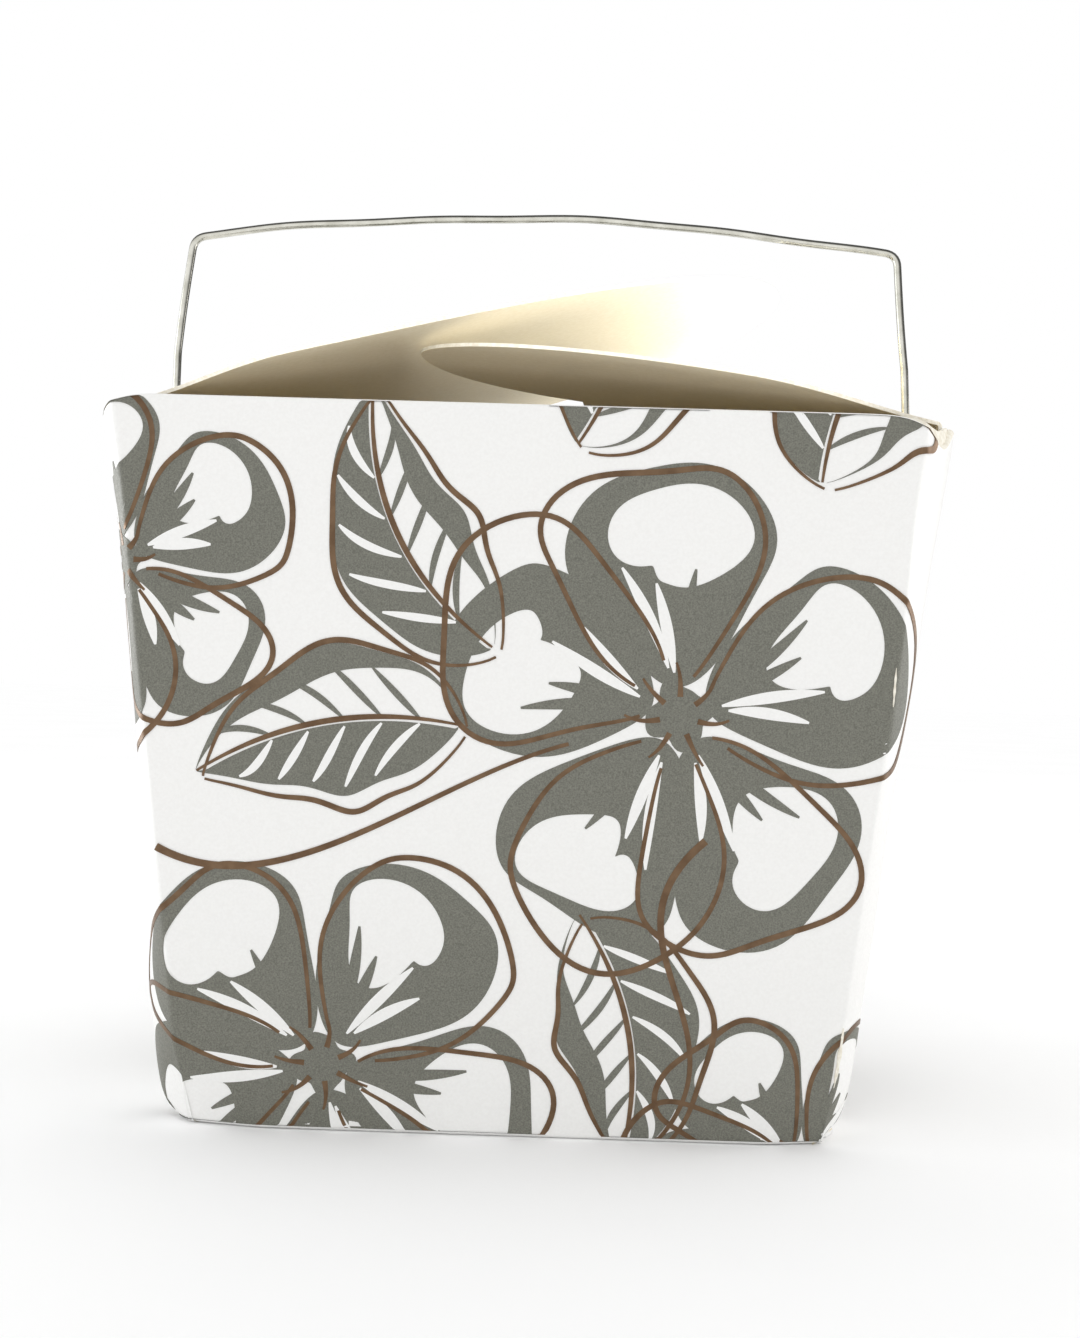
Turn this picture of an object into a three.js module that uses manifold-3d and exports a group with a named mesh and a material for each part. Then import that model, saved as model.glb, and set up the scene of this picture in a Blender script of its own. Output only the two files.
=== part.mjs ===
// Noodle takeaway box: a tapered paperboard pail with a wire bail and two lid flaps standing ajar.
// Millimetres, +Z up. The origin is the middle of the base, the front panel faces -Y,
// and the wire bail hangs in the two X sides.

import * as THREE from 'three';
import { ConvexGeometry } from 'three/addons/geometries/ConvexGeometry.js';
import { LoftGeometry } from 'three/addons/geometries/LoftGeometry.js';
import { mergeVertices } from 'three/addons/utils/BufferGeometryUtils.js';
import Module from 'manifold-3d';

// Pail: outer sizes at the foot and at the rim.
const HEIGHT = 95;
const BASE_WIDTH = 90;
const RIM_WIDTH = 109.5;
const BASE_DEPTH = 75;
const RIM_DEPTH = 92;

// Board, and the two layers of a corner web folded flat against a side panel.
const BOARD = 0.5;
const WEB = 0.8;
const WEB_LAP = 0.7;
const WEB_ROOT = 0.4;
const WEB_SINK = 0.02;
const WEB_INSET = 7;
const CUT_PAST = 1;

// Corner bends: a tight crease at mid height that opens into a soft bend at the rim and foot.
const CREASE_RADIUS = 1.6;
const RIM_RADIUS = 6;
const FOOT_RADIUS = 7;
const FOOT_FADE = 2.5;
const CORNER_STEPS = 6;
const PAIL_LEVELS = [0, 1.5, 3.5, 6, 10, 30, 50, 65, 78, 88, HEIGHT];

// Wire bail: half sizes from the middle, heights along the leg from the pivot.
const WIRE_RADIUS = 0.6;
const WIRE_SIDES = 10;
const HOLE_RADIUS = 1;
const HOLE_LENGTH = 8;
const HOLE_SIDES = 16;
const PIVOT_DROP = 9;
const BAIL_TILT = THREE.MathUtils.degToRad(8);
const HOOK_X = 50.2;
const HOOK_DROP = 6;
const LEG_X = 57;
const LEG_STRAIGHT = 24;
const CORNER_X = 55.7;
const CORNER_HEIGHT = 43;
const ARCH = 4.6;
const HOOK_BEND = 1.4;
const FOOT_BEND = 1.6;
const CORNER_BEND = 2.6;
const BEND_STEPS = 10;

// Lid flaps: hinge line on a side panel's rim, the slope at the hinge and at the tip,
// and the front corner cut back at the hinge.
const HINGE_X = 53.7;
const HINGE_GAP = 0.35;
const FLAP_COLUMNS = 8;
const TIP_SHARE = 0.999;
const LEFT_FLAP = {
  side: -1,
  length: 94.3,
  rootSlope: THREE.MathUtils.degToRad(14.9),
  tipSlope: THREE.MathUtils.degToRad(16.3),
};
const LEFT_STATIONS = 16;
const LEFT_MIDDLE = 5;
const LEFT_FRONT = 49.3;
const LEFT_FRONT_TAPER = 2.45;
const LEFT_BACK = 39.5;
const LEFT_BACK_TAPER = 6;
const LEFT_CUT = 9;
const LEFT_CUT_REACH = 23.5;
const RIGHT_FLAP = {
  side: 1,
  length: 70.4,
  rootSlope: THREE.MathUtils.degToRad(11),
  tipSlope: THREE.MathUtils.degToRad(3.8),
};
const BODY_STATIONS = 14;
const TONGUE_STATIONS = 10;
const TONGUE_MIDDLE = -28;
const TONGUE_FRONT = 16.3;
const TONGUE_BACK = 22.6;
const TONGUE_TAPER = 3.7;
const RIGHT_CUT = 8;
const RIGHT_CUT_REACH = 26.7;
const SHOULDER = 46.6;
const SHOULDER_BACK = 43;
const SHOULDER_CUT = 10;

// Finishes.
const WHITE_BOARD = new THREE.MeshStandardMaterial({ color: 0xf5f4ee, roughness: 0.55, metalness: 0 });
const FLAP_BOARD = new THREE.MeshStandardMaterial({ color: 0xf2ead8, roughness: 0.7, metalness: 0 });
const STEEL_WIRE = new THREE.MeshStandardMaterial({ color: 0xb9b6ac, roughness: 0.3, metalness: 1 });

const wasm = await Module();
wasm.setup();

// A three.js geometry as a solid that can be joined and cut.
function solidOf(geometry) {
  const bare = new THREE.BufferGeometry();
  bare.setAttribute('position', geometry.getAttribute('position'));
  bare.setIndex(geometry.getIndex());
  const merged = mergeVertices(bare);
  const vertProperties = new Float32Array(merged.attributes.position.array);
  const triVerts = new Uint32Array(merged.index.array);
  return new wasm.Manifold(new wasm.Mesh({ numProp: 3, vertProperties, triVerts }));
}

// A solid as a named three.js mesh.
function meshOf(name, solid, material) {
  const { vertProperties, triVerts } = solid.getMesh();
  const geometry = new THREE.BufferGeometry();
  geometry.setAttribute('position', new THREE.BufferAttribute(vertProperties, 3));
  geometry.setIndex(new THREE.BufferAttribute(triVerts, 1));
  geometry.computeVertexNormals();
  const mesh = new THREE.Mesh(geometry, material);
  mesh.name = name;
  return mesh;
}

// A solid skinned over a row of closed sections, with flat ends.
function loft(sections) {
  return solidOf(new LoftGeometry(sections, { capStart: true, capEnd: true }));
}

// Half the pail's outer width and depth at a height; the walls are straight from foot to rim.
function halfWidth(z) {
  return THREE.MathUtils.lerp(BASE_WIDTH, RIM_WIDTH, z / HEIGHT) / 2;
}

function halfDepth(z) {
  return THREE.MathUtils.lerp(BASE_DEPTH, RIM_DEPTH, z / HEIGHT) / 2;
}

function cornerRadius(z) {
  const foot = (FOOT_RADIUS - CREASE_RADIUS) * Math.exp(-z / FOOT_FADE);
  const rim = (RIM_RADIUS - CREASE_RADIUS) * (z / HEIGHT) ** 3;
  return CREASE_RADIUS + foot + rim;
}

// A level rectangle with round corners, counterclockwise from above.
function roundedSection(halfX, halfY, radius, z) {
  const corners = [[1, 1], [-1, 1], [-1, -1], [1, -1]];
  const points = [];
  corners.forEach(([signX, signY], quarter) => {
    for (let step = 0; step <= CORNER_STEPS; step++) {
      const angle = (quarter + step / CORNER_STEPS) * Math.PI / 2;
      const x = signX * (halfX - radius) + radius * Math.cos(angle);
      const y = signY * (halfY - radius) + radius * Math.sin(angle);
      points.push(new THREE.Vector3(x, y, z));
    }
  });
  return points;
}

function pailBlock() {
  const sections = PAIL_LEVELS.map((z) => roundedSection(halfWidth(z), halfDepth(z), cornerRadius(z), z));
  return loft(sections);
}

// The room inside: one board in from the front and back, one board and a web in from the sides.
function pailRoom() {
  const levels = [BOARD, ...PAIL_LEVELS.slice(1), HEIGHT + CUT_PAST];
  const sections = levels.map((z) => {
    const halfX = halfWidth(z) - WEB - BOARD;
    const halfY = halfDepth(z) - BOARD;
    return roundedSection(halfX, halfY, Math.max(cornerRadius(z) - WEB, CREASE_RADIUS / 2), z);
  });
  return loft(sections);
}

// Folding the blank: the gusset left between two wall panels is halved by a diagonal fold,
// which then runs across the side panel from its foot corner.
const sideSlant = Math.hypot(HEIGHT, (RIM_WIDTH - BASE_WIDTH) / 2);
const frontSlant = Math.hypot(HEIGHT, (RIM_DEPTH - BASE_DEPTH) / 2);
const sideLean = Math.atan2((RIM_DEPTH - BASE_DEPTH) / 2, sideSlant);
const frontLean = Math.atan2((RIM_WIDTH - BASE_WIDTH) / 2, frontSlant);
const webAngle = (Math.PI / 2 - sideLean - frontLean) / 2;
const diagonalRun = Math.tan(webAngle - sideLean) * sideSlant / HEIGHT;
const webCrossing = BASE_DEPTH / 2 / diagonalRun;
const webReach = HEIGHT * diagonalRun - BASE_DEPTH / 2;

// A point at a level above (+) or below (-) the outer plane of a side, square to X.
function onSide(side, y, z, level) {
  return new THREE.Vector3(side * (halfWidth(z) + level), y, z);
}

// The bare triangle of side panel between the two webs, as a shallow pocket open at the foot.
function barePanelPocket(side) {
  const footHalf = BASE_DEPTH / 2 + CUT_PAST * diagonalRun - CREASE_RADIUS;
  const outline = [[-footHalf, -CUT_PAST], [footHalf, -CUT_PAST], [0, webCrossing]];
  const points = [];
  for (const [y, z] of outline) {
    points.push(onSide(side, y, z, -WEB), onSide(side, y, z, WEB));
  }
  return solidOf(new ConvexGeometry(points));
}

// The front web lies over the back one, so it rises from its corner towards its far tip.
function upperWeb(side) {
  const footY = -(BASE_DEPTH / 2 - WEB_INSET);
  const rimY = -(RIM_DEPTH / 2 - WEB_INSET);
  const footZ = WEB_INSET / diagonalRun;
  const outline = [[footY, footZ, 0], [rimY, HEIGHT, 0], [webReach, HEIGHT, WEB_LAP]];
  const points = [];
  for (const [y, z, level] of outline) {
    points.push(onSide(side, y, z, -WEB_ROOT), onSide(side, y, z, level - WEB_SINK));
  }
  return solidOf(new ConvexGeometry(points));
}

function wireHole(side) {
  const hole = new THREE.CylinderGeometry(HOLE_RADIUS, HOLE_RADIUS, HOLE_LENGTH, HOLE_SIDES);
  hole.rotateZ(Math.PI / 2);
  hole.translate(side * HINGE_X, 0, HEIGHT - PIVOT_DROP);
  return solidOf(hole);
}

function cartonMesh() {
  let carton = pailBlock();
  for (const side of [-1, 1]) {
    carton = carton.subtract(barePanelPocket(side));
    carton = carton.add(upperWeb(side));
  }
  carton = carton.subtract(pailRoom());
  for (const side of [-1, 1]) {
    carton = carton.subtract(wireHole(side));
  }
  return meshOf('carton', carton, WHITE_BOARD);
}

// A point of a flap that curls as a circular arc from its hinge: along it, across it and above it.
function flapPoint({ side, length, rootSlope, tipSlope }, along, across, above) {
  const slope = rootSlope + (tipSlope - rootSlope) * along / length;
  const curl = length / (tipSlope - rootSlope);
  const run = curl * (Math.sin(slope) - Math.sin(rootSlope)) - above * Math.sin(slope);
  const rise = curl * (Math.cos(rootSlope) - Math.cos(slope)) + above * Math.cos(slope);
  return new THREE.Vector3(side * (HINGE_X - run), across, HEIGHT + HINGE_GAP + rise);
}

// One thin slice across a flap: under face from front to back edge, then the top face back again.
function flapSlice(flap, along, front, back) {
  const under = [];
  const top = [];
  for (let column = 0; column <= FLAP_COLUMNS; column++) {
    const across = THREE.MathUtils.lerp(front, back, column / FLAP_COLUMNS);
    under.push(flapPoint(flap, along, across, 0));
    top.unshift(flapPoint(flap, along, across, BOARD));
  }
  const slice = [...under, ...top];
  return flap.side < 0 ? slice : slice.reverse();
}

function flapMesh(name, flap, slices) {
  const sections = slices.map(([along, front, back]) => flapSlice(flap, along, front, back));
  return meshOf(name, loft(sections), FLAP_BOARD);
}

// Stations along a flap, closer together towards a round tip.
function stations(from, to, count) {
  const list = [];
  for (let index = 0; index <= count; index++) {
    list.push(from + (to - from) * Math.sin(index / count * Math.PI / 2));
  }
  return list;
}

// How much of its width a flap keeps at a share of its length: all of it at 0, none at 1.
function taper(share, power) {
  return Math.sqrt(1 - share ** power);
}

// How far the front corner of a flap is cut back: most at the hinge, easing to nothing.
function cornerCut(along, cut, reach) {
  return cut * (1 - THREE.MathUtils.smoothstep(along, 0, reach));
}

// Left flap: the longer one, lying over the other, slender in front and full behind.
function leftFlapMesh() {
  const { length } = LEFT_FLAP;
  const slices = stations(HINGE_GAP, length * TIP_SHARE, LEFT_STATIONS).map((along) => {
    const cut = cornerCut(along, LEFT_CUT, LEFT_CUT_REACH);
    const front = LEFT_MIDDLE - LEFT_FRONT * taper(along / length, LEFT_FRONT_TAPER) + cut;
    const back = LEFT_MIDDLE + LEFT_BACK * taper(along / length, LEFT_BACK_TAPER);
    return [along, front, back];
  });
  return flapMesh('left_flap', LEFT_FLAP, slices);
}

// Right flap: a broad shoulder behind, and a round tongue that runs on along the front.
function rightFlapMesh() {
  const { length } = RIGHT_FLAP;
  const frontEdge = (along) => {
    const width = TONGUE_FRONT * taper(along / length, TONGUE_TAPER);
    return TONGUE_MIDDLE - width + cornerCut(along, RIGHT_CUT, RIGHT_CUT_REACH);
  };
  const tongueEdge = (along) => {
    const share = (along - SHOULDER) / (length - SHOULDER);
    return TONGUE_MIDDLE + TONGUE_BACK * taper(share, 2);
  };
  const shoulderEdge = (along) => {
    const share = Math.max(along - SHOULDER + SHOULDER_CUT, 0) / SHOULDER_CUT;
    return SHOULDER_BACK - SHOULDER_CUT * (1 - taper(share, 2));
  };
  const body = stations(HINGE_GAP, SHOULDER, BODY_STATIONS);
  const tongue = stations(SHOULDER, length * TIP_SHARE, TONGUE_STATIONS);
  const slices = [
    ...body.map((along) => [along, frontEdge(along), shoulderEdge(along)]),
    ...tongue.map((along) => [along, frontEdge(along), tongueEdge(along)]),
  ];
  return flapMesh('right_flap', RIGHT_FLAP, slices);
}

// Left half of the wire's centre line, in the bail's own plane: x across, y up the leg.
function halfWire() {
  const wire = new THREE.Path();
  const lean = (LEG_X - CORNER_X) / (CORNER_HEIGHT - LEG_STRAIGHT);
  const archStart = CORNER_BEND - CORNER_X;
  wire.moveTo(-HOOK_X, -HOOK_DROP);
  wire.lineTo(-HOOK_X, -HOOK_BEND);
  wire.quadraticCurveTo(-HOOK_X, 0, -HOOK_X - HOOK_BEND, 0);
  wire.lineTo(FOOT_BEND - LEG_X, 0);
  wire.quadraticCurveTo(-LEG_X, 0, -LEG_X, FOOT_BEND);
  wire.lineTo(-LEG_X, LEG_STRAIGHT);
  wire.lineTo(-CORNER_X - lean * CORNER_BEND, CORNER_HEIGHT - CORNER_BEND);
  const archRise = 2 * ARCH / -archStart;
  wire.quadraticCurveTo(-CORNER_X, CORNER_HEIGHT, archStart, CORNER_HEIGHT + archRise * CORNER_BEND);
  wire.quadraticCurveTo(archStart / 2, CORNER_HEIGHT + ARCH, 0, CORNER_HEIGHT + ARCH);
  return wire.getPoints(BEND_STEPS);
}

// A ring of the wire's round section, square to its centre line.
function wireRing(path, index) {
  const before = path[Math.max(index - 1, 0)];
  const after = path[Math.min(index + 1, path.length - 1)];
  const tangent = after.clone().sub(before).normalize();
  const ring = [];
  for (let side = 0; side < WIRE_SIDES; side++) {
    const angle = side / WIRE_SIDES * Math.PI * 2;
    const across = WIRE_RADIUS * Math.cos(angle);
    const x = path[index].x - tangent.y * across;
    const z = path[index].y + tangent.x * across;
    ring.push(new THREE.Vector3(x, -WIRE_RADIUS * Math.sin(angle), z));
  }
  return ring;
}

function bailGroup() {
  const left = halfWire();
  const right = left.slice(0, -1).reverse().map((point) => new THREE.Vector2(-point.x, point.y));
  const path = [...left, ...right];
  const rings = path.map((_, index) => wireRing(path, index));
  const bail = new THREE.Group();
  bail.add(meshOf('handle', loft(rings), STEEL_WIRE));
  bail.position.z = HEIGHT - PIVOT_DROP;
  bail.rotation.x = -BAIL_TILT;
  return bail;
}

const box = new THREE.Group();
box.add(cartonMesh(), leftFlapMesh(), rightFlapMesh(), bailGroup());

export default box;
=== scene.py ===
"""Looks of an empty paperboard noodle pail with a wire bail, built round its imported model.

Shapes are worked out in millimetres in the model's own frame (X to the right, Y to the back, Z up)
and written to the meshes in metres.
"""

import logging
import math
from dataclasses import dataclass, field, replace
from enum import Enum
from typing import NamedTuple, Protocol, Sequence

import bmesh
import bpy
import numpy as np
from mathutils import Matrix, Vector
from numpy.typing import ArrayLike, NDArray


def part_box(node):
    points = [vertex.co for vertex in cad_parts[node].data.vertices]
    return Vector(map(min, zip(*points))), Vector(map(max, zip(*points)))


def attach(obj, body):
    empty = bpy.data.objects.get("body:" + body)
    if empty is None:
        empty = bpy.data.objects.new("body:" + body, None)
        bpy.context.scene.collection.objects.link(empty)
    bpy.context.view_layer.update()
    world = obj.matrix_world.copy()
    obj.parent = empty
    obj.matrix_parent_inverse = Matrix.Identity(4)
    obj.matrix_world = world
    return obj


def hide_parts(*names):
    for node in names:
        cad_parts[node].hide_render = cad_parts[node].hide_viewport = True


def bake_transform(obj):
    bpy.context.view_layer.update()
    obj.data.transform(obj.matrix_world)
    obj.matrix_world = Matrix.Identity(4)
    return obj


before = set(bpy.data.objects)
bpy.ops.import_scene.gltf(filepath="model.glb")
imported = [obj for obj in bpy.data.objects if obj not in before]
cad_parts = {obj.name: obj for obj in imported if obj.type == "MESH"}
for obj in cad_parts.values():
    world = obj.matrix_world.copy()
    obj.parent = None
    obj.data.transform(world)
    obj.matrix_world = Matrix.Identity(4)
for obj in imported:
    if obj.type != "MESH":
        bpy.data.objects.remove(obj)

Array = NDArray[np.float64]
Numbers = NDArray[np.int64]
Triple = tuple[float, float, float]
Point = tuple[float, float]
Sides = tuple[int, int, int]

LOG = logging.getLogger("noodle_box")
MM = 0.001
WELD = 2e-7
SHARP_ANGLE = 40.0
QUARTER_TURN = math.pi / 2
FULL_TURN = 2 * math.pi
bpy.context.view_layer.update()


def ease(share: ArrayLike) -> Array:
    """Smooth step of a share from 0 to 1."""
    held = np.clip(share, 0, 1)
    return held * held * (3 - 2 * held)


def hump(distance: Array, reach: float) -> Array:
    """Bell curve: 1 at distance 0, falling off over the reach on both sides."""
    return np.exp(-((distance / reach) ** 2))


def taper(share: ArrayLike, power: float) -> Array:
    """Rounded narrowing from 1 at share 0 to 0 at share 1."""
    return np.sqrt(np.maximum(1 - np.clip(share, 0, 1) ** power, 0))


def swell(share: Array, end: float, power: float) -> Array:
    """Width of a pen line: a power of half a sine wave, begun and ended a little way in."""
    return np.sin(math.pi * (end + (1 - 2 * end) * share)) ** power


def ripple(turn: Array, waves: Sequence[Triple], number: float) -> Array:
    """Sum of sine waves, each given by its size, its count round a turn and its shift per number."""
    return sum(size * np.sin(count * turn + shift * number) for size, count, shift in waves)


def quarter(steps: int) -> Array:
    """Angles of a quarter turn, from 0 to 90 degrees."""
    return np.linspace(0, QUARTER_TURN, steps)


def once_round(steps: int) -> Array:
    """Angles of a whole turn, without a repeat of the first."""
    return np.linspace(0, FULL_TURN, steps, endpoint=False)


def units(rows: Array, least: float = 0.0) -> Array:
    """Rows brought to length 1, with a least length added where a row may be zero."""
    return rows / (np.linalg.norm(rows, axis=1)[:, None] + least)


def reaches(path: Array) -> Array:
    """Distance along a path to each of its points."""
    return np.concatenate([[0], np.cumsum(np.linalg.norm(np.diff(path, axis=0), axis=1))])


def sample(places: Array, known: Array, rows: Array) -> Array:
    """Rows at places between the known ones, by straight lines in each column."""
    return np.stack([np.interp(places, known, column) for column in rows.T], -1)


def parabola(start: Array, pull: ArrayLike, end: ArrayLike, share: Array) -> Array:
    """Parabola from start to end that leaves and arrives along the lines to the pull point."""
    return (1 - share) ** 2 * start + 2 * share * (1 - share) * np.array(pull) + share**2 * np.array(end)


def grid_quads(rows: int, columns: int, start: int = 0, rows_close: bool = False,
               columns_close: bool = False) -> Numbers:
    """Quads between neighbours of a grid of points.

    Args:
        rows, columns: points each way, numbered row by row.
        start: number of the first point.
        rows_close, columns_close: whether the last row or column joins the first.
    Returns:
        One row of four point numbers for each quad.
    """
    row = np.arange(rows if rows_close else rows - 1)[:, None]
    column = np.arange(columns if columns_close else columns - 1)[None, :]
    next_row, next_column = (row + 1) % rows, (column + 1) % columns
    corners = (row * columns + column, row * columns + next_column,
               next_row * columns + next_column, next_row * columns + column)
    return start + np.stack(np.broadcast_arrays(*corners), -1).reshape(-1, 4)


def placed(right: Array, over: Array, back: Array, place: Triple) -> Matrix:
    """Matrix of an object from its own three axes and its place.

    Args:
        right, over, back: unit X, Y and Z axis of the object.
        place: its place, in millimetres.
    Returns:
        The matrix, in metres.
    """
    matrix = np.eye(4)
    matrix[:3] = np.stack([right, over, back, np.array(place) * MM], -1)
    return Matrix(matrix.tolist())


@dataclass(frozen=True)
class Skin:
    """A closed surface: points, quads and the number of each quad's finish."""

    points: Array
    quads: Numbers
    finish: Numbers

    @classmethod
    def sheet(cls, top: Array, under: Array, finish: Sides = (0, 0, 0), closes: bool = False) -> "Skin":
        """Closed sheet between two grids of points that lie one over the other.

        Args:
            top, under: grids of points, rows by columns by 3.
            finish: finish numbers of the top, the underside and the edge.
            closes: whether the last row joins the first, as round a ring.
        Returns:
            The sheet with its edge closed.
        """
        rows, columns, _ = top.shape
        count = rows * columns
        upper = grid_quads(rows, columns, rows_close=closes)
        lower = grid_quads(rows, columns, count, rows_close=closes)[:, ::-1]
        number = np.arange(count).reshape(rows, columns)
        if closes:
            rims = [number[:, 0], number[:, -1]]
        else:
            rims = [np.concatenate([number[0, :-1], number[:-1, -1], number[-1, :0:-1], number[:0:-1, 0]])]
        edge = np.concatenate([
            np.stack([rim, np.roll(rim, -1), np.roll(rim, -1) + count, rim + count], -1) for rim in rims])
        kinds = np.repeat(np.array(finish), [len(upper), len(lower), len(edge)])
        points = np.concatenate([top.reshape(-1, 3), under.reshape(-1, 3)])
        return cls(points, np.concatenate([upper, lower, edge]), kinds)

    @classmethod
    def tube(cls, path: Array, across: Array, radius: Array, sides: int) -> "Skin":
        """Round bar: a circle carried along a flat path and closed at both ends.

        Args:
            path: points of the middle line, count by 3.
            across: the one direction square to the whole path.
            radius: radius at each point.
            sides: even number of points round the circle.
        Returns:
            The bar.
        """
        outward = np.cross(units(np.gradient(path, axis=0)), across)
        turn = once_round(sides)[None, :, None]
        spoke = outward[:, None] * np.cos(turn) + across * np.sin(turn)
        points = path[:, None] + spoke * radius[:, None, None]
        half = np.arange(sides // 2 - 1)
        cap = np.stack([half, half + 1, sides - 2 - half, sides - 1 - half], -1)
        last = (len(path) - 1) * sides
        around = grid_quads(len(path), sides, columns_close=True)
        quads = np.concatenate([around, cap, cap[:, ::-1] + last])
        return cls(points.reshape(-1, 3), quads, np.zeros(len(quads), int))

    def repainted(self, shown: NDArray[np.bool_], kind: int) -> "Skin":
        """The same surface with another finish on some quads.

        Args:
            shown: which of the first quads change.
            kind: number of their finish.
        Returns:
            The repainted surface.
        """
        finish = self.finish.copy()
        finish[:len(shown)][shown] = kind
        return replace(self, finish=finish)


def make_piece(name: str, skins: Sequence[Skin],
               finishes: Sequence[bpy.types.Material]) -> bpy.types.Object:
    """Mesh object out of closed surfaces, welded, turned outwards and shaded smooth.

    Args:
        name: name of the piece.
        skins: its surfaces, in millimetres.
        finishes: materials that the surfaces number.
    Returns:
        The object, linked to the scene at the origin.
    """
    starts = np.cumsum([0] + [len(skin.points) for skin in skins[:-1]])
    points = np.concatenate([skin.points for skin in skins]) * MM
    quads = np.concatenate([skin.quads + start for skin, start in zip(skins, starts)])
    kinds = np.concatenate([skin.finish for skin in skins])
    mesh = bpy.data.meshes.new(name)
    mesh.vertices.add(len(points))
    mesh.vertices.foreach_set("co", points.ravel())
    mesh.loops.add(quads.size)
    mesh.loops.foreach_set("vertex_index", quads.ravel())
    mesh.polygons.add(len(quads))
    mesh.polygons.foreach_set("loop_start", np.arange(0, quads.size, 4))
    mesh.polygons.foreach_set("material_index", kinds)
    mesh.update(calc_edges=True)
    for finish in finishes:
        mesh.materials.append(finish)
    work = bmesh.new()
    work.from_mesh(mesh)
    bmesh.ops.remove_doubles(work, verts=work.verts, dist=WELD)
    bmesh.ops.recalc_face_normals(work, faces=work.faces)
    work.to_mesh(mesh)
    work.free()
    mesh.polygons.foreach_set("use_smooth", np.ones(len(mesh.polygons), bool))
    mesh.set_sharp_from_angle(angle=math.radians(SHARP_ANGLE))
    piece = bpy.data.objects.new(name, mesh)
    bpy.context.scene.collection.objects.link(piece)
    LOG.info("%s: %d faces", name, len(mesh.polygons))
    return piece


def set_inputs(node: bpy.types.Node, values: dict[str, float]) -> None:
    """Sets the named inputs of a node."""
    for name, value in values.items():
        node.inputs[name].default_value = value


def map_range(nodes: bpy.types.Nodes, reach: Point, target: Point) -> bpy.types.Node:
    """Node that carries one span of values over to another.

    Args:
        nodes: nodes of the material or world.
        reach: start and end of the span that it reads.
        target: what it gives at the start and the end.
    Returns:
        The node.
    """
    node = nodes.new("ShaderNodeMapRange")
    set_inputs(node, dict(zip(("From Min", "From Max", "To Min", "To Max"), (*reach, *target))))
    return node


@dataclass(frozen=True)
class Finish:
    """A procedural finish: mottled colour, uneven gloss and a fine grain."""

    name: str
    dark: Triple
    light: Triple
    mottle: float
    grain: float
    gloss: Point
    relief: float
    metal: float = 0.0
    specular: float = 0.5
    mottle_detail: float = 6.0
    mottle_span: Point = (0.36, 0.64)
    grain_detail: float = 4.0
    grain_span: Point = (0.3, 0.7)
    grain_height: float = 0.05

    def material(self) -> bpy.types.Material:
        """Material with noise in its colour, roughness and surface height.

        Returns:
            The node material, in object coordinates.
        """
        material = bpy.data.materials.new(self.name)
        material.use_nodes = True
        nodes, links = material.node_tree.nodes, material.node_tree.links
        shader = next(node for node in nodes if node.type == "BSDF_PRINCIPLED")
        set_inputs(shader, {"Metallic": self.metal, "Specular IOR Level": self.specular})
        place = nodes.new("ShaderNodeTexCoord")
        mottle, grain = nodes.new("ShaderNodeTexNoise"), nodes.new("ShaderNodeTexNoise")
        set_inputs(mottle, {"Scale": self.mottle, "Detail": self.mottle_detail})
        set_inputs(grain, {"Scale": self.grain, "Detail": self.grain_detail})
        ramp = nodes.new("ShaderNodeValToRGB")
        for number, colour in enumerate((self.dark, self.light)):
            ramp.color_ramp.elements[number].position = self.mottle_span[number]
            ramp.color_ramp.elements[number].color = (*colour, 1.0)
        gloss = map_range(nodes, self.grain_span, self.gloss)
        bump = nodes.new("ShaderNodeBump")
        set_inputs(bump, {"Strength": self.relief, "Distance": self.grain_height * MM})
        for given, taken in (
            (place.outputs["Object"], mottle.inputs["Vector"]),
            (place.outputs["Object"], grain.inputs["Vector"]),
            (mottle.outputs["Fac"], ramp.inputs["Fac"]),
            (ramp.outputs["Color"], shader.inputs["Base Color"]),
            (grain.outputs["Fac"], gloss.inputs["Value"]),
            (gloss.outputs["Result"], shader.inputs["Roughness"]),
            (grain.outputs["Fac"], bump.inputs["Height"]),
            (bump.outputs["Normal"], shader.inputs["Normal"]),
        ):
            links.new(given, taken)
        return material


class Paint(Enum):
    """The finishes on the box."""

    WHITE_BOARD = Finish("white_board", (0.895, 0.89, 0.872), (0.925, 0.922, 0.905),
                         mottle=2600, grain=4200, gloss=(0.42, 0.6), relief=0.15)
    CREAM_BOARD = Finish("cream_board", (0.86, 0.765, 0.565), (0.90, 0.81, 0.62),
                         mottle=1500, grain=3200, gloss=(0.6, 0.8), relief=0.2)
    CUT_EDGE = Finish("cut_edge", (0.80, 0.75, 0.63), (0.92, 0.885, 0.79),
                      mottle=1500, grain=5200, gloss=(0.7, 0.9), relief=0.15)
    GREY_INK = Finish("grey_ink", (0.125, 0.125, 0.102), (0.205, 0.205, 0.170),
                      mottle=5200, grain=3600, gloss=(0.45, 0.62), relief=0.3)
    BRONZE_INK = Finish("bronze_ink", (0.125, 0.07, 0.034), (0.185, 0.112, 0.06),
                        mottle=500, grain=3600, gloss=(0.28, 0.45), relief=0.2, metal=0.5)
    STEEL_WIRE = Finish("steel_wire", (0.60, 0.59, 0.52), (0.78, 0.77, 0.70),
                        mottle=420, grain=2600, gloss=(0.12, 0.2), relief=0.03, metal=1.0)

    @classmethod
    def materials(cls) -> dict["Paint", bpy.types.Material]:
        """One material for each finish."""
        return {paint: paint.value.material() for paint in cls}


Paints = dict[Paint, bpy.types.Material]

FLOOR_FINISH = Finish("floor", (0.955, 0.955, 0.955), (0.97, 0.97, 0.97),
                      mottle=12, grain=400, gloss=(0.6, 0.75), relief=0.05, specular=0.0)

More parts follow.
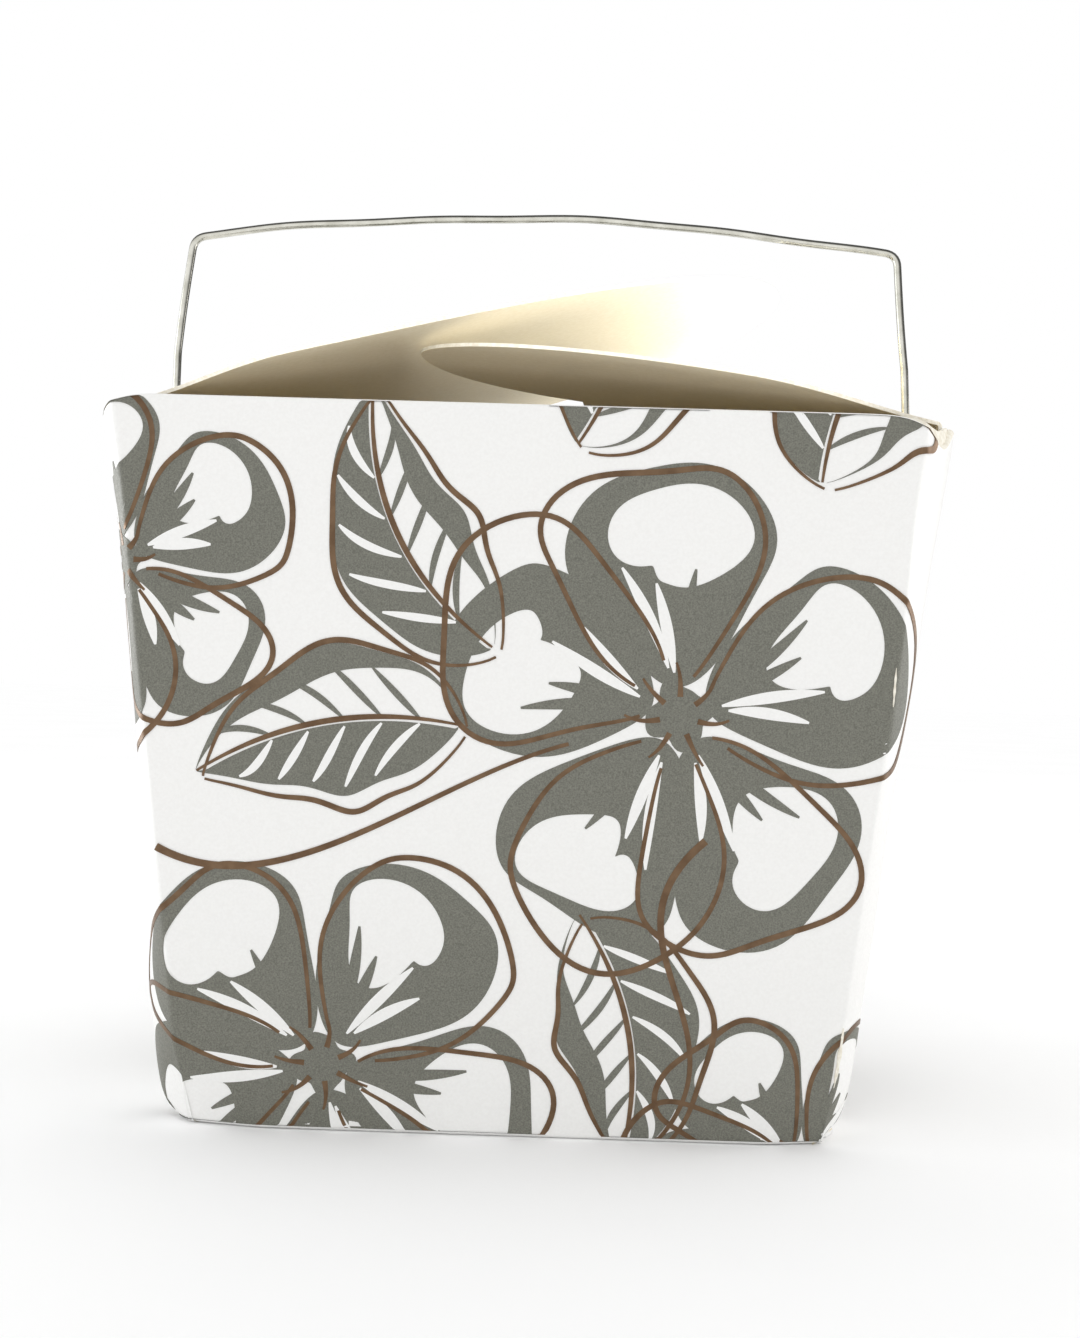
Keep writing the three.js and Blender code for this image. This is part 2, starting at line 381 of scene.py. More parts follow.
# A board piece numbers its finishes outside, inside, cut edge. The base's sheet is seen from inside.
BOARD_PAINTS = (Paint.WHITE_BOARD, Paint.CREAM_BOARD, Paint.CUT_EDGE)
BOARD_SIDES: Sides = (0, 1, 2)
BASE_SIDES: Sides = (1, 0, 0)


def board_finishes(paints: Paints) -> list[bpy.types.Material]:
    """Materials of a board piece, in the order of its finish numbers."""
    return [paints[paint] for paint in BOARD_PAINTS]


@dataclass(frozen=True)
class PanelRelief:
    """Unevenness of a wide panel: a slight bow, a bent-back facet at each foot corner, a flare at the rim."""

    bow: float = 0.35
    facet_start: float = 0.74
    facet_lean: float = 0.8
    facet_slope: float = 0.1
    facet_top: float = 14.0
    facet_fade: float = 8.0
    flare: float = 0.8
    flare_foot: float = 82.0
    flare_rise: float = 13.0
    flare_near: float = 0.8
    flare_near_run: float = 0.2
    flare_far: float = 1.25
    flare_far_run: float = 0.25

    def proud(self, away: Array, half: Array, up: Array, tall: float) -> Array:
        """Half a sine wave up the panel, less a ramp below a slanting line, plus a bump near the rim's ends.

        Args:
            away: distance from the middle of the panel.
            half: half the panel's width at the same height.
            up: height.
            tall: height of the panel.
        Returns:
            How far the board stands proud.
        """
        share = away / half
        bow = self.bow * (1 - np.clip(share, 0, 1) ** 2) * np.sin(math.pi * np.clip(up / tall, 0, 1))
        past = away - self.facet_start * half - self.facet_lean * up
        ramp = self.facet_slope * (past + np.sqrt(past**2 + 1))
        dent = ramp * ease((self.facet_top - up) / self.facet_fade)
        flare = self.flare * ease((up - self.flare_foot) / self.flare_rise)
        flare = flare * ease((share - self.flare_near) / self.flare_near_run)
        flare = flare * ease((self.flare_far - share) / self.flare_far_run)
        return bow - dent + flare


@dataclass(frozen=True)
class PailShape:
    """Sizes of the tapered pail, in millimetres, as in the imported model."""

    height: float
    rim_depth: float
    rim_width: float = 109.5
    base_width: float = 90.0
    base_depth: float = 75.0
    board: float = 0.5
    web: float = 0.8
    diagonal_run: float = 0.69
    uneven: PanelRelief = PanelRelief()

    @classmethod
    def from_frame(cls) -> "PailShape":
        """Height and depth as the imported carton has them."""
        low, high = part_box("carton")
        return cls(height=(high.z - low.z) / MM, rim_depth=(high.y - low.y) / MM)

    def half_width(self, up: ArrayLike) -> Array:
        """Half the width at a height."""
        return (self.base_width + (self.rim_width - self.base_width) * np.asarray(up) / self.height) / 2

    def half_depth(self, up: ArrayLike) -> Array:
        """Half the depth at a height."""
        return (self.base_depth + (self.rim_depth - self.base_depth) * np.asarray(up) / self.height) / 2

    def relief(self, away: Array, up: Array) -> Array:
        """How far a wide panel stands proud at a distance from its middle and a height."""
        return self.uneven.proud(away, self.half_width(up), up, self.height)

    def diagonal(self, up: ArrayLike) -> Array:
        """How far a web reaches back from the middle of the depth at a height."""
        return np.asarray(up) * self.diagonal_run - self.base_depth / 2


class Surface(Protocol):
    """A sheet of board that takes print."""

    def confine(self, spot: Array) -> Array:
        """Moves places outside the sheet to its border."""

    def place(self, across: Array, up: Array, lift: ArrayLike) -> Array:
        """Points of the sheet, lifted off it."""

    def slack(self, across: Array, up: Array) -> Array:
        """How much looser a film lies at a place, above 0 where the sheet bends."""


@dataclass(frozen=True)
class Corner:
    """How an upright corner is folded: where its crease lies and how far the web swings out behind it."""

    inset: float
    rim_inset: float
    foot_out: float
    middle_out: float
    rim_out: float
    dip: float
    foot_draw: float = 4.0
    draw_reach: float = 2.2
    foot_top: float = 32.0
    foot_run: float = 16.0
    middle_up: float = 42.0
    middle_reach: float = 16.0
    rim_from: float = 68.0
    rim_run: float = 26.0
    crease_from: float = 60.0
    crease_run: float = 35.0

    def crease(self, up: ArrayLike) -> Array:
        """How far in from the pail's width the crease lies at a height."""
        return self.inset + self.rim_inset * ease((np.asarray(up) - self.crease_from) / self.crease_run)

    def out(self, up: ArrayLike) -> Array:
        """How far the web stands out past the pail's width: a step at foot and rim, a bell in between.

        Args:
            up: heights.
        Returns:
            The distances, drawn in again just over the base.
        """
        up = np.asarray(up)
        drawn = self.foot_draw * np.exp(-np.maximum(up, 0) / self.draw_reach)
        foot = self.foot_out * ease((self.foot_top - up) / self.foot_run) - drawn
        middle = self.middle_out * hump(up - self.middle_up, self.middle_reach)
        return foot + middle + self.rim_out * ease((up - self.rim_from) / self.rim_run)


FRONT_CORNERS = (
    Corner(inset=1.8, rim_inset=0.2, foot_out=3.3, middle_out=0.6, rim_out=0.2, dip=2.2),
    Corner(inset=3.8, rim_inset=1.2, foot_out=-0.5, middle_out=-0.8, rim_out=1.4, dip=3.4),
)
CUP_CORNERS = (FRONT_CORNERS[0], replace(FRONT_CORNERS[1], dip=1.5))
BACK_CORNERS = (
    Corner(inset=2.4, rim_inset=0.6, foot_out=0.5, middle_out=0.0, rim_out=0.8, dip=2.0),
    Corner(inset=3.0, rim_inset=0.8, foot_out=0.3, middle_out=-0.3, rim_out=1.0, dip=2.4),
)


class Fold(NamedTuple):
    """A corner at a height.

    The panel, the bend and the arc end at flat, bent and end, as distances from the middle round the
    sheet. The arc has the radius arc, and the corner ends outside the pail's width by excess.
    """

    flat: Array
    bent: Array
    end: Array
    arc: Array
    excess: Array


@dataclass(frozen=True)
class FilmSlack:
    """How much looser a film of ink lies than the board: at tight bends, the rim and the corners' feet."""

    bend: float = 0.08
    bend_reach: float = 0.8
    rim: float = 0.05
    rim_from: float = 1.5
    rim_run: float = 1.2
    corner: float = 0.004
    foot: float = 0.1
    foot_reach: float = 2.5


@dataclass(frozen=True)
class Wrap:
    """The front or back panel with its two corners and the webs folded against the sides."""

    pail: PailShape
    facing: int
    corners: tuple[Corner, Corner]
    lap: float = 0.0
    bend: float = 0.8
    swing: float = math.radians(42)
    least_arc: float = 1.5
    settle: float = 16.0
    relief_fade: float = 8.0
    dip_reach: float = 4.5
    dip_from: float = 78.0
    dip_run: float = 17.0
    fold: float = 0.8
    layer: float = 0.25
    least_layer: float = 0.1
    web_fold: float = 0.35
    web_length: float = 67.0
    least_web: float = 0.8
    print_foot: float = 0.6
    print_rim: float = 0.3
    slackness: FilmSlack = FilmSlack()
    edge_from: float = 0.1
    height_steps: int = 60
    foot_steps: int = 5
    rim_steps: int = 6
    web_steps: int = 4
    column_steps: tuple[int, int, int, int] = (56, 6, 12, 36)

    def profile(self, side: ArrayLike, up: ArrayLike) -> Fold:
        """Corner at a height: the panel, a tight bend of part of the quarter turn, then an arc for the rest.

        Args:
            side: below 0 for the corner at negative places, above 0 for the other.
            up: heights.
        Returns:
            The corner's measures.
        """
        left, right = self.corners
        first = np.asarray(side) < 0
        inset = np.where(first, left.crease(up), right.crease(up))
        out = np.where(first, left.out(up), right.out(up))
        tangent = self.bend * math.tan(self.swing / 2)
        begun, rest = tangent * math.cos(self.swing), 1 - math.sin(self.swing)
        arc = np.maximum((inset + out - begun) / rest, self.least_arc)
        flat = self.pail.half_width(up) - inset - tangent
        bent = flat + self.bend * self.swing
        return Fold(flat, bent, bent + arc * (QUARTER_TURN - self.swing), arc, begun + arc * rest - inset)

    def side_end(self, side: ArrayLike, up: ArrayLike) -> Array:
        """Distance round the sheet to the middle of the depth: the corner, then the depth it leaves.

        Args:
            side: -1 or 1 for the way round.
            up: heights.
        Returns:
            The distances.
        """
        corner = self.profile(side, up)
        used = self.bend * (1 - math.cos(self.swing)) + corner.arc * math.cos(self.swing)
        return corner.end + self.pail.half_depth(up) - used

    def web_end(self, side: ArrayLike, up: ArrayLike) -> Array:
        """Distance round the sheet to the end of the web, on the diagonal."""
        least = self.profile(side, up).end + self.least_web
        return np.maximum(self.side_end(side, up) + self.pail.diagonal(up), least)

    def turn(self, across: Array, up: ArrayLike) -> Array:
        """Share of the corner that lies before a place, from 0 on the panel to 1 on the web."""
        corner = self.profile(across, up)
        return np.clip((np.abs(across) - corner.flat) / (corner.end - corner.flat), 0, 1)

    def depth(self, across: Array, up: ArrayLike) -> Array:
        """Thickness of the sheet: one layer on the panel, the folded web on the side."""
        return self.layer + (self.pail.web - self.layer) * ease(self.turn(across, up))

    def roll(self, up: Array) -> Array:
        """How far the rounded folds at the rim and the foot draw the sheet in at a height."""
        past = np.maximum(up - self.pail.height, -up) + self.fold
        return self.fold - np.sqrt(self.fold**2 - np.clip(past, 0, self.fold) ** 2)

    def place(self, across: ArrayLike, up: ArrayLike, lift: ArrayLike) -> Array:
        """Points of the sheet: straight along the panel, round the bend and the arc, straight along the web.

        The web settles back to the side behind the corner, and the rim dips at the corner.

        Args:
            across: distance round the sheet from its middle.
            up: height.
            lift: height off the board.
        Returns:
            The points.
        """
        across, up, lift = np.broadcast_arrays(np.asarray(across, float), up, lift)
        corner = self.profile(across, up)
        away = np.abs(across)
        past, run = away - corner.flat, np.maximum(away - corner.end, 0)
        first = np.clip(past / self.bend, 0, self.swing)
        second = np.clip((away - corner.bent) / corner.arc, 0, QUARTER_TURN - self.swing)
        turn, sweep = first + second, self.swing + second
        wide = np.minimum(away, corner.flat) + self.bend * np.sin(first)
        wide = wide + corner.arc * (np.sin(sweep) - math.sin(self.swing))
        wide = wide - corner.excess * ease(run / self.settle)
        deep = self.bend * (1 - np.cos(first)) + corner.arc * (math.cos(self.swing) - np.cos(sweep)) + run
        relief = self.pail.relief(np.minimum(away, corner.flat), up)
        level = lift - self.roll(up) + relief * (1 - ease(past / self.relief_fade))
        level = level + self.lap * run / self.web_length
        dip = np.where(across < 0, self.corners[0].dip, self.corners[1].dip)
        dip = dip * hump(past - self.dip_reach, self.dip_reach) * ease((up - self.dip_from) / self.dip_run)
        x = np.sign(across) * (wide + level * np.sin(turn))
        y = self.pail.half_depth(up) - deep + level * np.cos(turn)
        return np.stack([-self.facing * x, self.facing * y, up - dip], -1)

    def confine(self, spot: Array) -> Array:
        """Moves places outside the sheet to its border, short of the folds at rim and foot.

        Args:
            spot: places round the sheet and heights, last axis 2.
        Returns:
            The places on the sheet.
        """
        up = np.clip(spot[..., 1], self.fold * self.print_foot, self.pail.height - self.fold * self.print_rim)
        low, high = self.web_fold - self.web_end(-1, up), self.web_end(1, up) - self.web_fold
        return np.stack([np.clip(spot[..., 0], low, high), up], -1)

    def slack(self, across: Array, up: Array) -> Array:
        """How much looser a film lies: a bell at the tight bends, a step at the rim, more at the foot.

        Args:
            across: distance round the sheet from its middle.
            up: height.
        Returns:
            Extra lift, above 0 all round the corners.
        """
        loose, corner = self.slackness, self.profile(across, up)
        away = np.abs(across)
        tight = loose.bend * hump(away - (corner.flat + corner.bent) / 2, loose.bend_reach)
        rim = loose.rim * ease((up - self.pail.height + loose.rim_from) / loose.rim_run)
        round_corner = (away > corner.flat) & (away < corner.end + self.settle)
        return tight + rim + round_corner * (loose.corner + loose.foot * np.exp(-up / loose.foot_reach))

    def columns(self, side: int, up: Array, end: Array) -> Array:
        """Places from the middle of the sheet to an end, close-set round the corner.

        Args:
            side: -1 or 1 for the way round.
            up: heights.
            end: distance of the end at each height.
        Returns:
            Distances round the sheet, heights by places.
        """
        corner = self.profile(side, up)
        stops = (0 * corner.flat, corner.flat, corner.bent, corner.end, end)
        runs = [start[:, None] + (stop - start)[:, None] * np.linspace(0, 1, count)[1:]
                for start, stop, count in zip(stops, stops[1:], self.column_steps)]
        return np.concatenate([stops[0][:, None], *runs], 1)

    def skin(self, finish: Sides) -> Skin:
        """The sheet, with a rounded fold at the rim, the foot and both diagonals.

        Args:
            finish: finish numbers of the outside, the inside and the cut edge.
        Returns:
            The closed sheet.
        """
        tall, fold = self.pail.height, self.fold
        foot, rim = quarter(self.foot_steps)[::-1], quarter(self.rim_steps)
        middle = np.linspace(fold, tall - fold, self.height_steps)[1:-1]
        up = np.concatenate([fold - fold * np.sin(foot), middle, tall - fold + fold * np.sin(rim)])
        roll = quarter(self.web_steps)[1:]
        halves = []
        for side in (-1, 1):
            end = self.web_end(side, up) - self.web_fold
            rolled = end[:, None] + self.web_fold * np.sin(roll)
            halves.append(np.concatenate([self.columns(side, up, end), rolled], 1))
        sink = np.zeros_like(halves[0])
        sink[:, -len(roll):] += self.web_fold * (1 - np.cos(roll))
        across = np.concatenate([-halves[0][:, :0:-1], halves[1]], 1)
        sink = np.concatenate([sink[:, :0:-1], sink], 1)
        rows = up[:, None]
        thick = np.maximum(self.depth(across, rows) - self.roll(rows), sink + self.least_layer)
        skin = Skin.sheet(self.place(across, rows, -sink), self.place(across, rows, -thick), finish)
        rim_rows = np.arange(len(up) - 1) > len(up) - len(rim)
        cut = rim_rows[:, None] & (self.turn(across, rows)[1:, 1:] > self.edge_from)
        return skin.repainted(cut.ravel(), finish[2])


@dataclass(frozen=True)
class Cup:
    """The inner walls and base, whose sides show as bare panels between the webs."""

    pail: PailShape
    drop: float = 0.1
    bend: float = 2.2
    height_steps: int = 64
    edge_from: float = 0.92
    base_steps: int = 25
    base_pull: float = 0.1
    base_power: int = 10
    base_lift: float = 0.02

    def ring(self, up: Array, inset: float) -> Array:
        """The pail's outline at the given heights, inside the panels and webs.

        Args:
            up: heights.
            inset: distance in from the inside of the panels and webs.
        Returns:
            Points, heights by places round the ring by 3.
        """
        halves = []
        for facing, corners in ((-1, CUP_CORNERS), (1, BACK_CORNERS)):
            wrap = Wrap(self.pail, facing, corners, bend=self.bend)
            left, right = (wrap.columns(side, up, wrap.side_end(side, up)) for side in (-1, 1))
            across = np.concatenate([-left[:, :0:-1], right[:, :-1]], 1)
            halves.append(wrap.place(across, up[:, None], -wrap.depth(across, up[:, None]) - inset))
        return np.concatenate(halves, 1)

    def walls(self, finish: Sides) -> Skin:
        """The four walls as one ring: up the outside, over the rim and down the inside.

        Args:
            finish: finish numbers of the outside, the inside and the cut edge.
        Returns:
            The closed ring, with the cut edge's finish also along the top of the outside.
        """
        up = np.linspace(self.drop, self.pail.height - self.drop, self.height_steps)
        outer, inner = (self.ring(up, inset).transpose(1, 0, 2) for inset in (0.0, self.pail.board))
        high = np.tile(up[1:] > self.edge_from * self.pail.height, len(outer))
        return Skin.sheet(outer, inner, finish, closes=True).repainted(high, finish[2])

    def base(self, finish: Sides) -> Skin:
        """The base: a square grid drawn in at its corners by a high power of both shares.

        Args:
            finish: finish numbers of the top, the underside and the edge.
        Returns:
            The closed sheet.
        """
        share = np.linspace(-1, 1, self.base_steps)
        across, deep = np.meshgrid(share, share, indexing="ij")
        pull = 1 - self.base_pull * (across * deep) ** self.base_power
        half_x = self.pail.base_width / 2 - self.pail.web - self.pail.board / 2
        half_y = self.pail.base_depth / 2 - self.pail.board
        flat = np.stack([across * half_x * pull, deep * half_y * pull, 0 * across], -1)
        return Skin.sheet(flat + (0, 0, self.pail.board), flat + (0, 0, self.base_lift), finish)


@dataclass(frozen=True)
class SidePanel:
    """The bare triangle of a side panel below the webs, as a place for print."""

    pail: PailShape
    side: int
    margin: float = 1.2

    def place(self, across: ArrayLike, up: ArrayLike, lift: ArrayLike) -> Array:
        """Points of the panel, which leans out with the pail's width.

        Args:
            across: distance from the middle of the panel.
            up: height.
            lift: height off the board.
        Returns:
            The points.
        """
        across, up, lift = np.broadcast_arrays(np.asarray(across, float), up, lift)
        x = self.side * (self.pail.half_width(up) - self.pail.web + lift)
        return np.stack([x, self.side * across, up], -1)

    def slack(self, across: Array, up: Array) -> Array:
        """No looser film, because the panel is flat."""
        return 0 * across

    def confine(self, spot: Array) -> Array:
        """Moves places outside the triangle to its border.

        Args:
            spot: places across the panel and heights, last axis 2.
        Returns:
            The places on the panel.
        """
        top = -self.pail.diagonal(0) / self.pail.diagonal_run - self.margin
        up = np.clip(spot[..., 1], self.margin, top)
        limit = np.maximum(-self.pail.diagonal(up) - self.margin, 0)
        return np.stack([np.clip(spot[..., 0], -limit, limit), up], -1)


@dataclass(frozen=True)
class LidFlap:
    """A lid flap that leaves a side wall at its crease and curls slightly towards its tip."""

    pail: PailShape
    side: int
    length: float
    root_slope: float
    tip_slope: float
    body: str
    node: str
    middle: float = 0.0
    front: float = 0.0
    front_power: float = 2.0
    back: float = 0.0
    cut: float = 0.0
    cut_reach: float = 1.0
    wave: float = 0.0
    wave_across: float = 17.0
    wave_along: float = 23.0
    wave_start: float = 40.0
    crease: float = 0.5
    stub: float = 0.7
    hinge_below: float = 0.2
    hinge_above: float = 0.9
    hinge_in: float = 1.0
    print_start: float = 1.5
    print_end: float = 0.8
    print_edge: float = 0.4
    shy: float = 0.01
    tip_share: float = 0.9995
    line_steps: tuple[int, int] = (40, 400)
    crease_steps: int = 12
    steps: int = 90
    width_steps: int = 48

    @property
    def wall(self) -> float:
        """Distance of the side wall's board from the pail's middle, at the rim."""
        return self.pail.half_width(self.pail.height) - self.pail.web - self.pail.board / 2

    @property
    def turned(self) -> float:
        """Distance along the flap at which it has turned from upright to its root slope."""
        return self.crease * (QUARTER_TURN - math.radians(self.root_slope))

    def line(self) -> tuple[Array, Array, Array, Array]:
        """Middle line of the flap: the heading turns from upright at the crease to the tip's slope.

        Returns:
            Distance along the flap, way in from the wall, height and heading at each step.
        """
        root, tip = math.radians(self.root_slope), math.radians(self.tip_slope)
        along = np.concatenate([np.linspace(-self.stub, self.turned, self.line_steps[0]),
                                np.linspace(self.turned, self.length, self.line_steps[1])[1:]])
        stops = [-self.stub, 0, self.turned, self.length]
        heading = np.interp(along, stops, [QUARTER_TURN, QUARTER_TURN, root, tip])
        middle = (heading[1:] + heading[:-1]) / 2
        step = np.diff(along)
        way = np.concatenate([[0], np.cumsum(np.cos(middle) * step)])
        rise = np.concatenate([[0], np.cumsum(np.sin(middle) * step)]) - self.stub
        return along, way, rise, heading

    def front_edge(self, along: Array) -> Array:
        """Front edge: a rounded narrowing to the tip, with the corner at the crease cut back."""
        cut = self.cut * (1 - ease(along / self.cut_reach))
        return self.middle - self.front * taper(along / self.length, self.front_power) + cut

    def back_edge(self, along: Array) -> Array:
        """Back edge of the flap at distances along it."""
        raise NotImplementedError

    def place(self, across: ArrayLike, up: ArrayLike, lift: ArrayLike) -> Array:
        """Points of the flap: its middle line, carried across it, with a slight wave.

        Args:
            across: place along Y.
            up: distance from the crease.
            lift: height off the middle of the board.
        Returns:
            The points.
        """
        across, up, lift = np.broadcast_arrays(np.asarray(across, float), up, lift)
        along, way, rise, heading = self.line()
        angle = np.interp(up, along, heading)
        inward = np.interp(up, along, way) - lift * np.sin(angle)
        wave = self.wave * np.sin(across / self.wave_across + up / self.wave_along)
        wave = wave * ease(up / self.wave_start)
        high = np.interp(up, along, rise) + lift * np.cos(angle) + wave
        return np.stack([self.side * (self.wall - inward), across, self.pail.height + high], -1)

    def slack(self, across: Array, up: Array) -> Array:
        """No looser film, because the flap bends only at its crease."""
        return 0 * across

    def confine(self, spot: Array) -> Array:
        """Moves places outside the flap to its border.

        Args:
            spot: places along Y and distances from the crease, last axis 2.
        Returns:
            The places on the flap.
        """
        up = np.clip(spot[..., 1], self.print_start, self.length - self.print_end)
        low, high = self.front_edge(up) + self.print_edge, self.back_edge(up) - self.print_edge
        return np.stack([np.clip(spot[..., 0], low, high), up], -1)

    def skin(self, finish: Sides) -> Skin:
        """The flap as a closed sheet, close-set at the crease and at the tip.

        Args:
            finish: finish numbers of the top, the underside and the cut edge.
        Returns:
            The closed sheet.
        """
        share = np.sin(quarter(self.steps))[1:]
        along = np.concatenate([np.linspace(-self.stub, self.turned, self.crease_steps),
                                self.turned + (self.length - self.turned) * share])
        held = np.clip(along, 0, self.length * self.tip_share)
        front, back = self.front_edge(held), self.back_edge(held)
        across = front[:, None] + (back - front)[:, None] * np.linspace(0, 1, self.width_steps)
        half = self.pail.board / 2 - self.shy
        top, under = (self.place(across, along[:, None], lift) for lift in (half, -half))
        return Skin.sheet(top, under, finish)

    def build(self, paints: Paints) -> bpy.types.Object:
        """The flap's board piece, in place of the imported flap.

        Args:
            paints: materials of the box.
        Returns:
            The piece.
        """
        piece = make_piece(f"{self.node}_board", [self.skin(BOARD_SIDES)], board_finishes(paints))
        low = (self.side * self.wall * MM, 0, (self.pail.height - self.hinge_below) * MM)
        high = (self.side * (self.wall - self.hinge_in) * MM, 0, (self.pail.height + self.hinge_above) * MM)
        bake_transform(piece)
        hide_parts(self.node)
        return piece


@dataclass(frozen=True)
class LeftFlap(LidFlap):
    """The upper flap: slender in front, full behind."""

    side: int = -1
    length: float = 94.3
    root_slope: float = 14.9
    tip_slope: float = 16.3
    body: str = "lid_left"
    node: str = "left_flap"
    middle: float = 5.0
    front: float = 49.3
    front_power: float = 2.45
    back: float = 39.5
    cut: float = 9.0
    cut_reach: float = 23.5
    wave: float = 0.25
    back_power: float = 6.0

    def back_edge(self, along: Array) -> Array:
        """Back edge: a full, rounded narrowing to the tip."""
        return self.middle + self.back * taper(along / self.length, self.back_power)


@dataclass(frozen=True)
class RightFlap(LidFlap):
    """The lower flap: a round tongue in front and a broad shoulder behind."""

    side: int = 1
    length: float = 70.4
    root_slope: float = 11.0
    tip_slope: float = 3.8
    body: str = "lid_right"
    node: str = "right_flap"
    middle: float = -28.0
    front: float = 16.3
    front_power: float = 3.7
    back: float = 22.6
    cut: float = 8.0
    cut_reach: float = 26.7
    shoulder: float = 46.6
    shoulder_back: float = 43.0
    shoulder_round: float = 10.0
    round_power: float = 2.0
    step: float = 1.6

    def back_edge(self, along: Array) -> Array:
        """Back edge: the shoulder with its rounded corner, then a step in to the round tongue.

        Args:
            along: distances from the crease.
        Returns:
            Places along Y.
        """
        past = along - self.shoulder
        narrowing = taper(past / (self.length - self.shoulder), self.round_power)
        tongue = self.middle + self.back * narrowing
        rounding = self.shoulder_round * (1 - taper(past / self.shoulder_round + 1, self.round_power))
        shoulder = self.shoulder_back - rounding
        return shoulder + (tongue - shoulder) * ease(past / self.step + 0.5)


@dataclass(frozen=True)
class Bail:
    """The wire bail: hooked inside, out through the sides, up both legs and over.

    Each wave of the hand-formed wire is given by its size, its length over a full turn and its start.
    """

    pivot: float = 86.0
    tilt: float = 8.0
    radius: float = 0.6
    end_share: float = 0.75
    end_run: float = 1.5
    hook_x: float = 50.2
    hook_drop: float = 6.0
    hole_round: float = 1.4
    leg_x: float = 57.0
    leg_round: float = 1.6
    leg_straight: float = 24.0
    corner_x: float = 55.7
    corner_up: float = 43.0
    corner_round: float = 1.9
    arch: float = 4.6
    free_from: float = 3.0
    free_run: float = 12.0
    up_waves: tuple[Triple, ...] = ((0.22, 9.0, 0.6), (0.1, 3.7, 0.0))
    side_waves: tuple[Triple, ...] = ((0.16, 6.5, 0.0),)
    back_waves: tuple[Triple, ...] = ((0.2, 13.0, 0.0),)
    sides: int = 16
    spacing: float = 0.5
    bend_steps: int = 12
    crown_steps: int = 40

    @property
    def lean(self) -> float:
        """Angle in radians that the bail leans back."""
        return math.radians(self.tilt)

    @staticmethod
    def waver(place: Array, waves: Sequence[Triple]) -> Array:
        """Sum of sine waves along the wire."""
        return sum(size * np.sin(place / length + start) for size, length, start in waves)

    def bend(self, corner: Point, before: Point, after: Point, size: float) -> Array:
        """Parabola that rounds a corner.

        Args:
            corner: the sharp corner.
            before, after: points on the two straight runs.
            size: distance from the corner at which the rounding starts.
        Returns:
            Points along the rounding.
        """
        runs = np.array([before, after], float) - np.array(corner)
        start, end = np.array(corner) + units(runs) * size
        return parabola(start, corner, end, np.linspace(0, 1, self.bend_steps)[:, None])

    def path(self) -> Array:
        """Middle line of the wire, evenly stepped, with the small waves of hand-formed wire.

        Returns:
            Points, count by 3.
        """
        hook, hole = (-self.hook_x, -self.hook_drop), (-self.hook_x, 0.0)
        foot, leg = (-self.leg_x, 0.0), (-self.leg_x, self.leg_straight)
        corner, top = (-self.corner_x, self.corner_up), (0.0, self.corner_up + self.arch)
        rise = (-self.corner_x / 2, self.corner_up + self.arch)
        turn = self.bend(corner, leg, rise, self.corner_round)
        crown = parabola(turn[-1], rise, top, np.linspace(0, 1, self.crown_steps)[1:, None])
        half = np.concatenate([[hook], self.bend(hole, hook, foot, self.hole_round),
                               self.bend(foot, hole, leg, self.leg_round), [leg], turn, crown])
        flat = np.concatenate([half, half[-2::-1] * (-1, 1)])
        reach = reaches(flat)
        even = np.linspace(0, reach[-1], int(reach[-1] / self.spacing))
        x, high = sample(even, reach, flat).T
        free = ease((high - self.free_from) / self.free_run)
        high = high + free * self.waver(x, self.up_waves)
        x = x + free * self.waver(high, self.side_waves)
        back = high * math.sin(self.lean) + free * self.waver(x, self.back_waves)
        return np.stack([x, back, self.pivot + high * math.cos(self.lean)], -1)

    def build(self, paints: Paints) -> bpy.types.Object:
        """The wire's piece, which swings with the bail.

        Args:
            paints: materials of the box.
        Returns:
            The piece.
        """
        path = self.path()
        across = np.array([0.0, math.cos(self.lean), -math.sin(self.lean)])
        ends = np.minimum(np.arange(len(path)), np.arange(len(path))[::-1])
        radius = self.radius * (self.end_share + (1 - self.end_share) * ease(ends / self.end_run))
        wire = Skin.tube(path, across, radius, self.sides)
        piece = make_piece("bail_wire", [wire], [paints[Paint.STEEL_WIRE]])
        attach(piece, "bail")
        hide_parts("handle")
        return piece


class Ink(Enum):
    """Inks of the print and rubbed spots, as the height of their film on the board."""

    GREY = 0.05
    WHITE = 0.07
    BRONZE = 0.09
    RUBBED = 0.12


INK_PAINTS = {Ink.GREY: Paint.GREY_INK, Ink.WHITE: Paint.WHITE_BOARD, Ink.BRONZE: Paint.BRONZE_INK,
              Ink.RUBBED: Paint.CUT_EDGE}


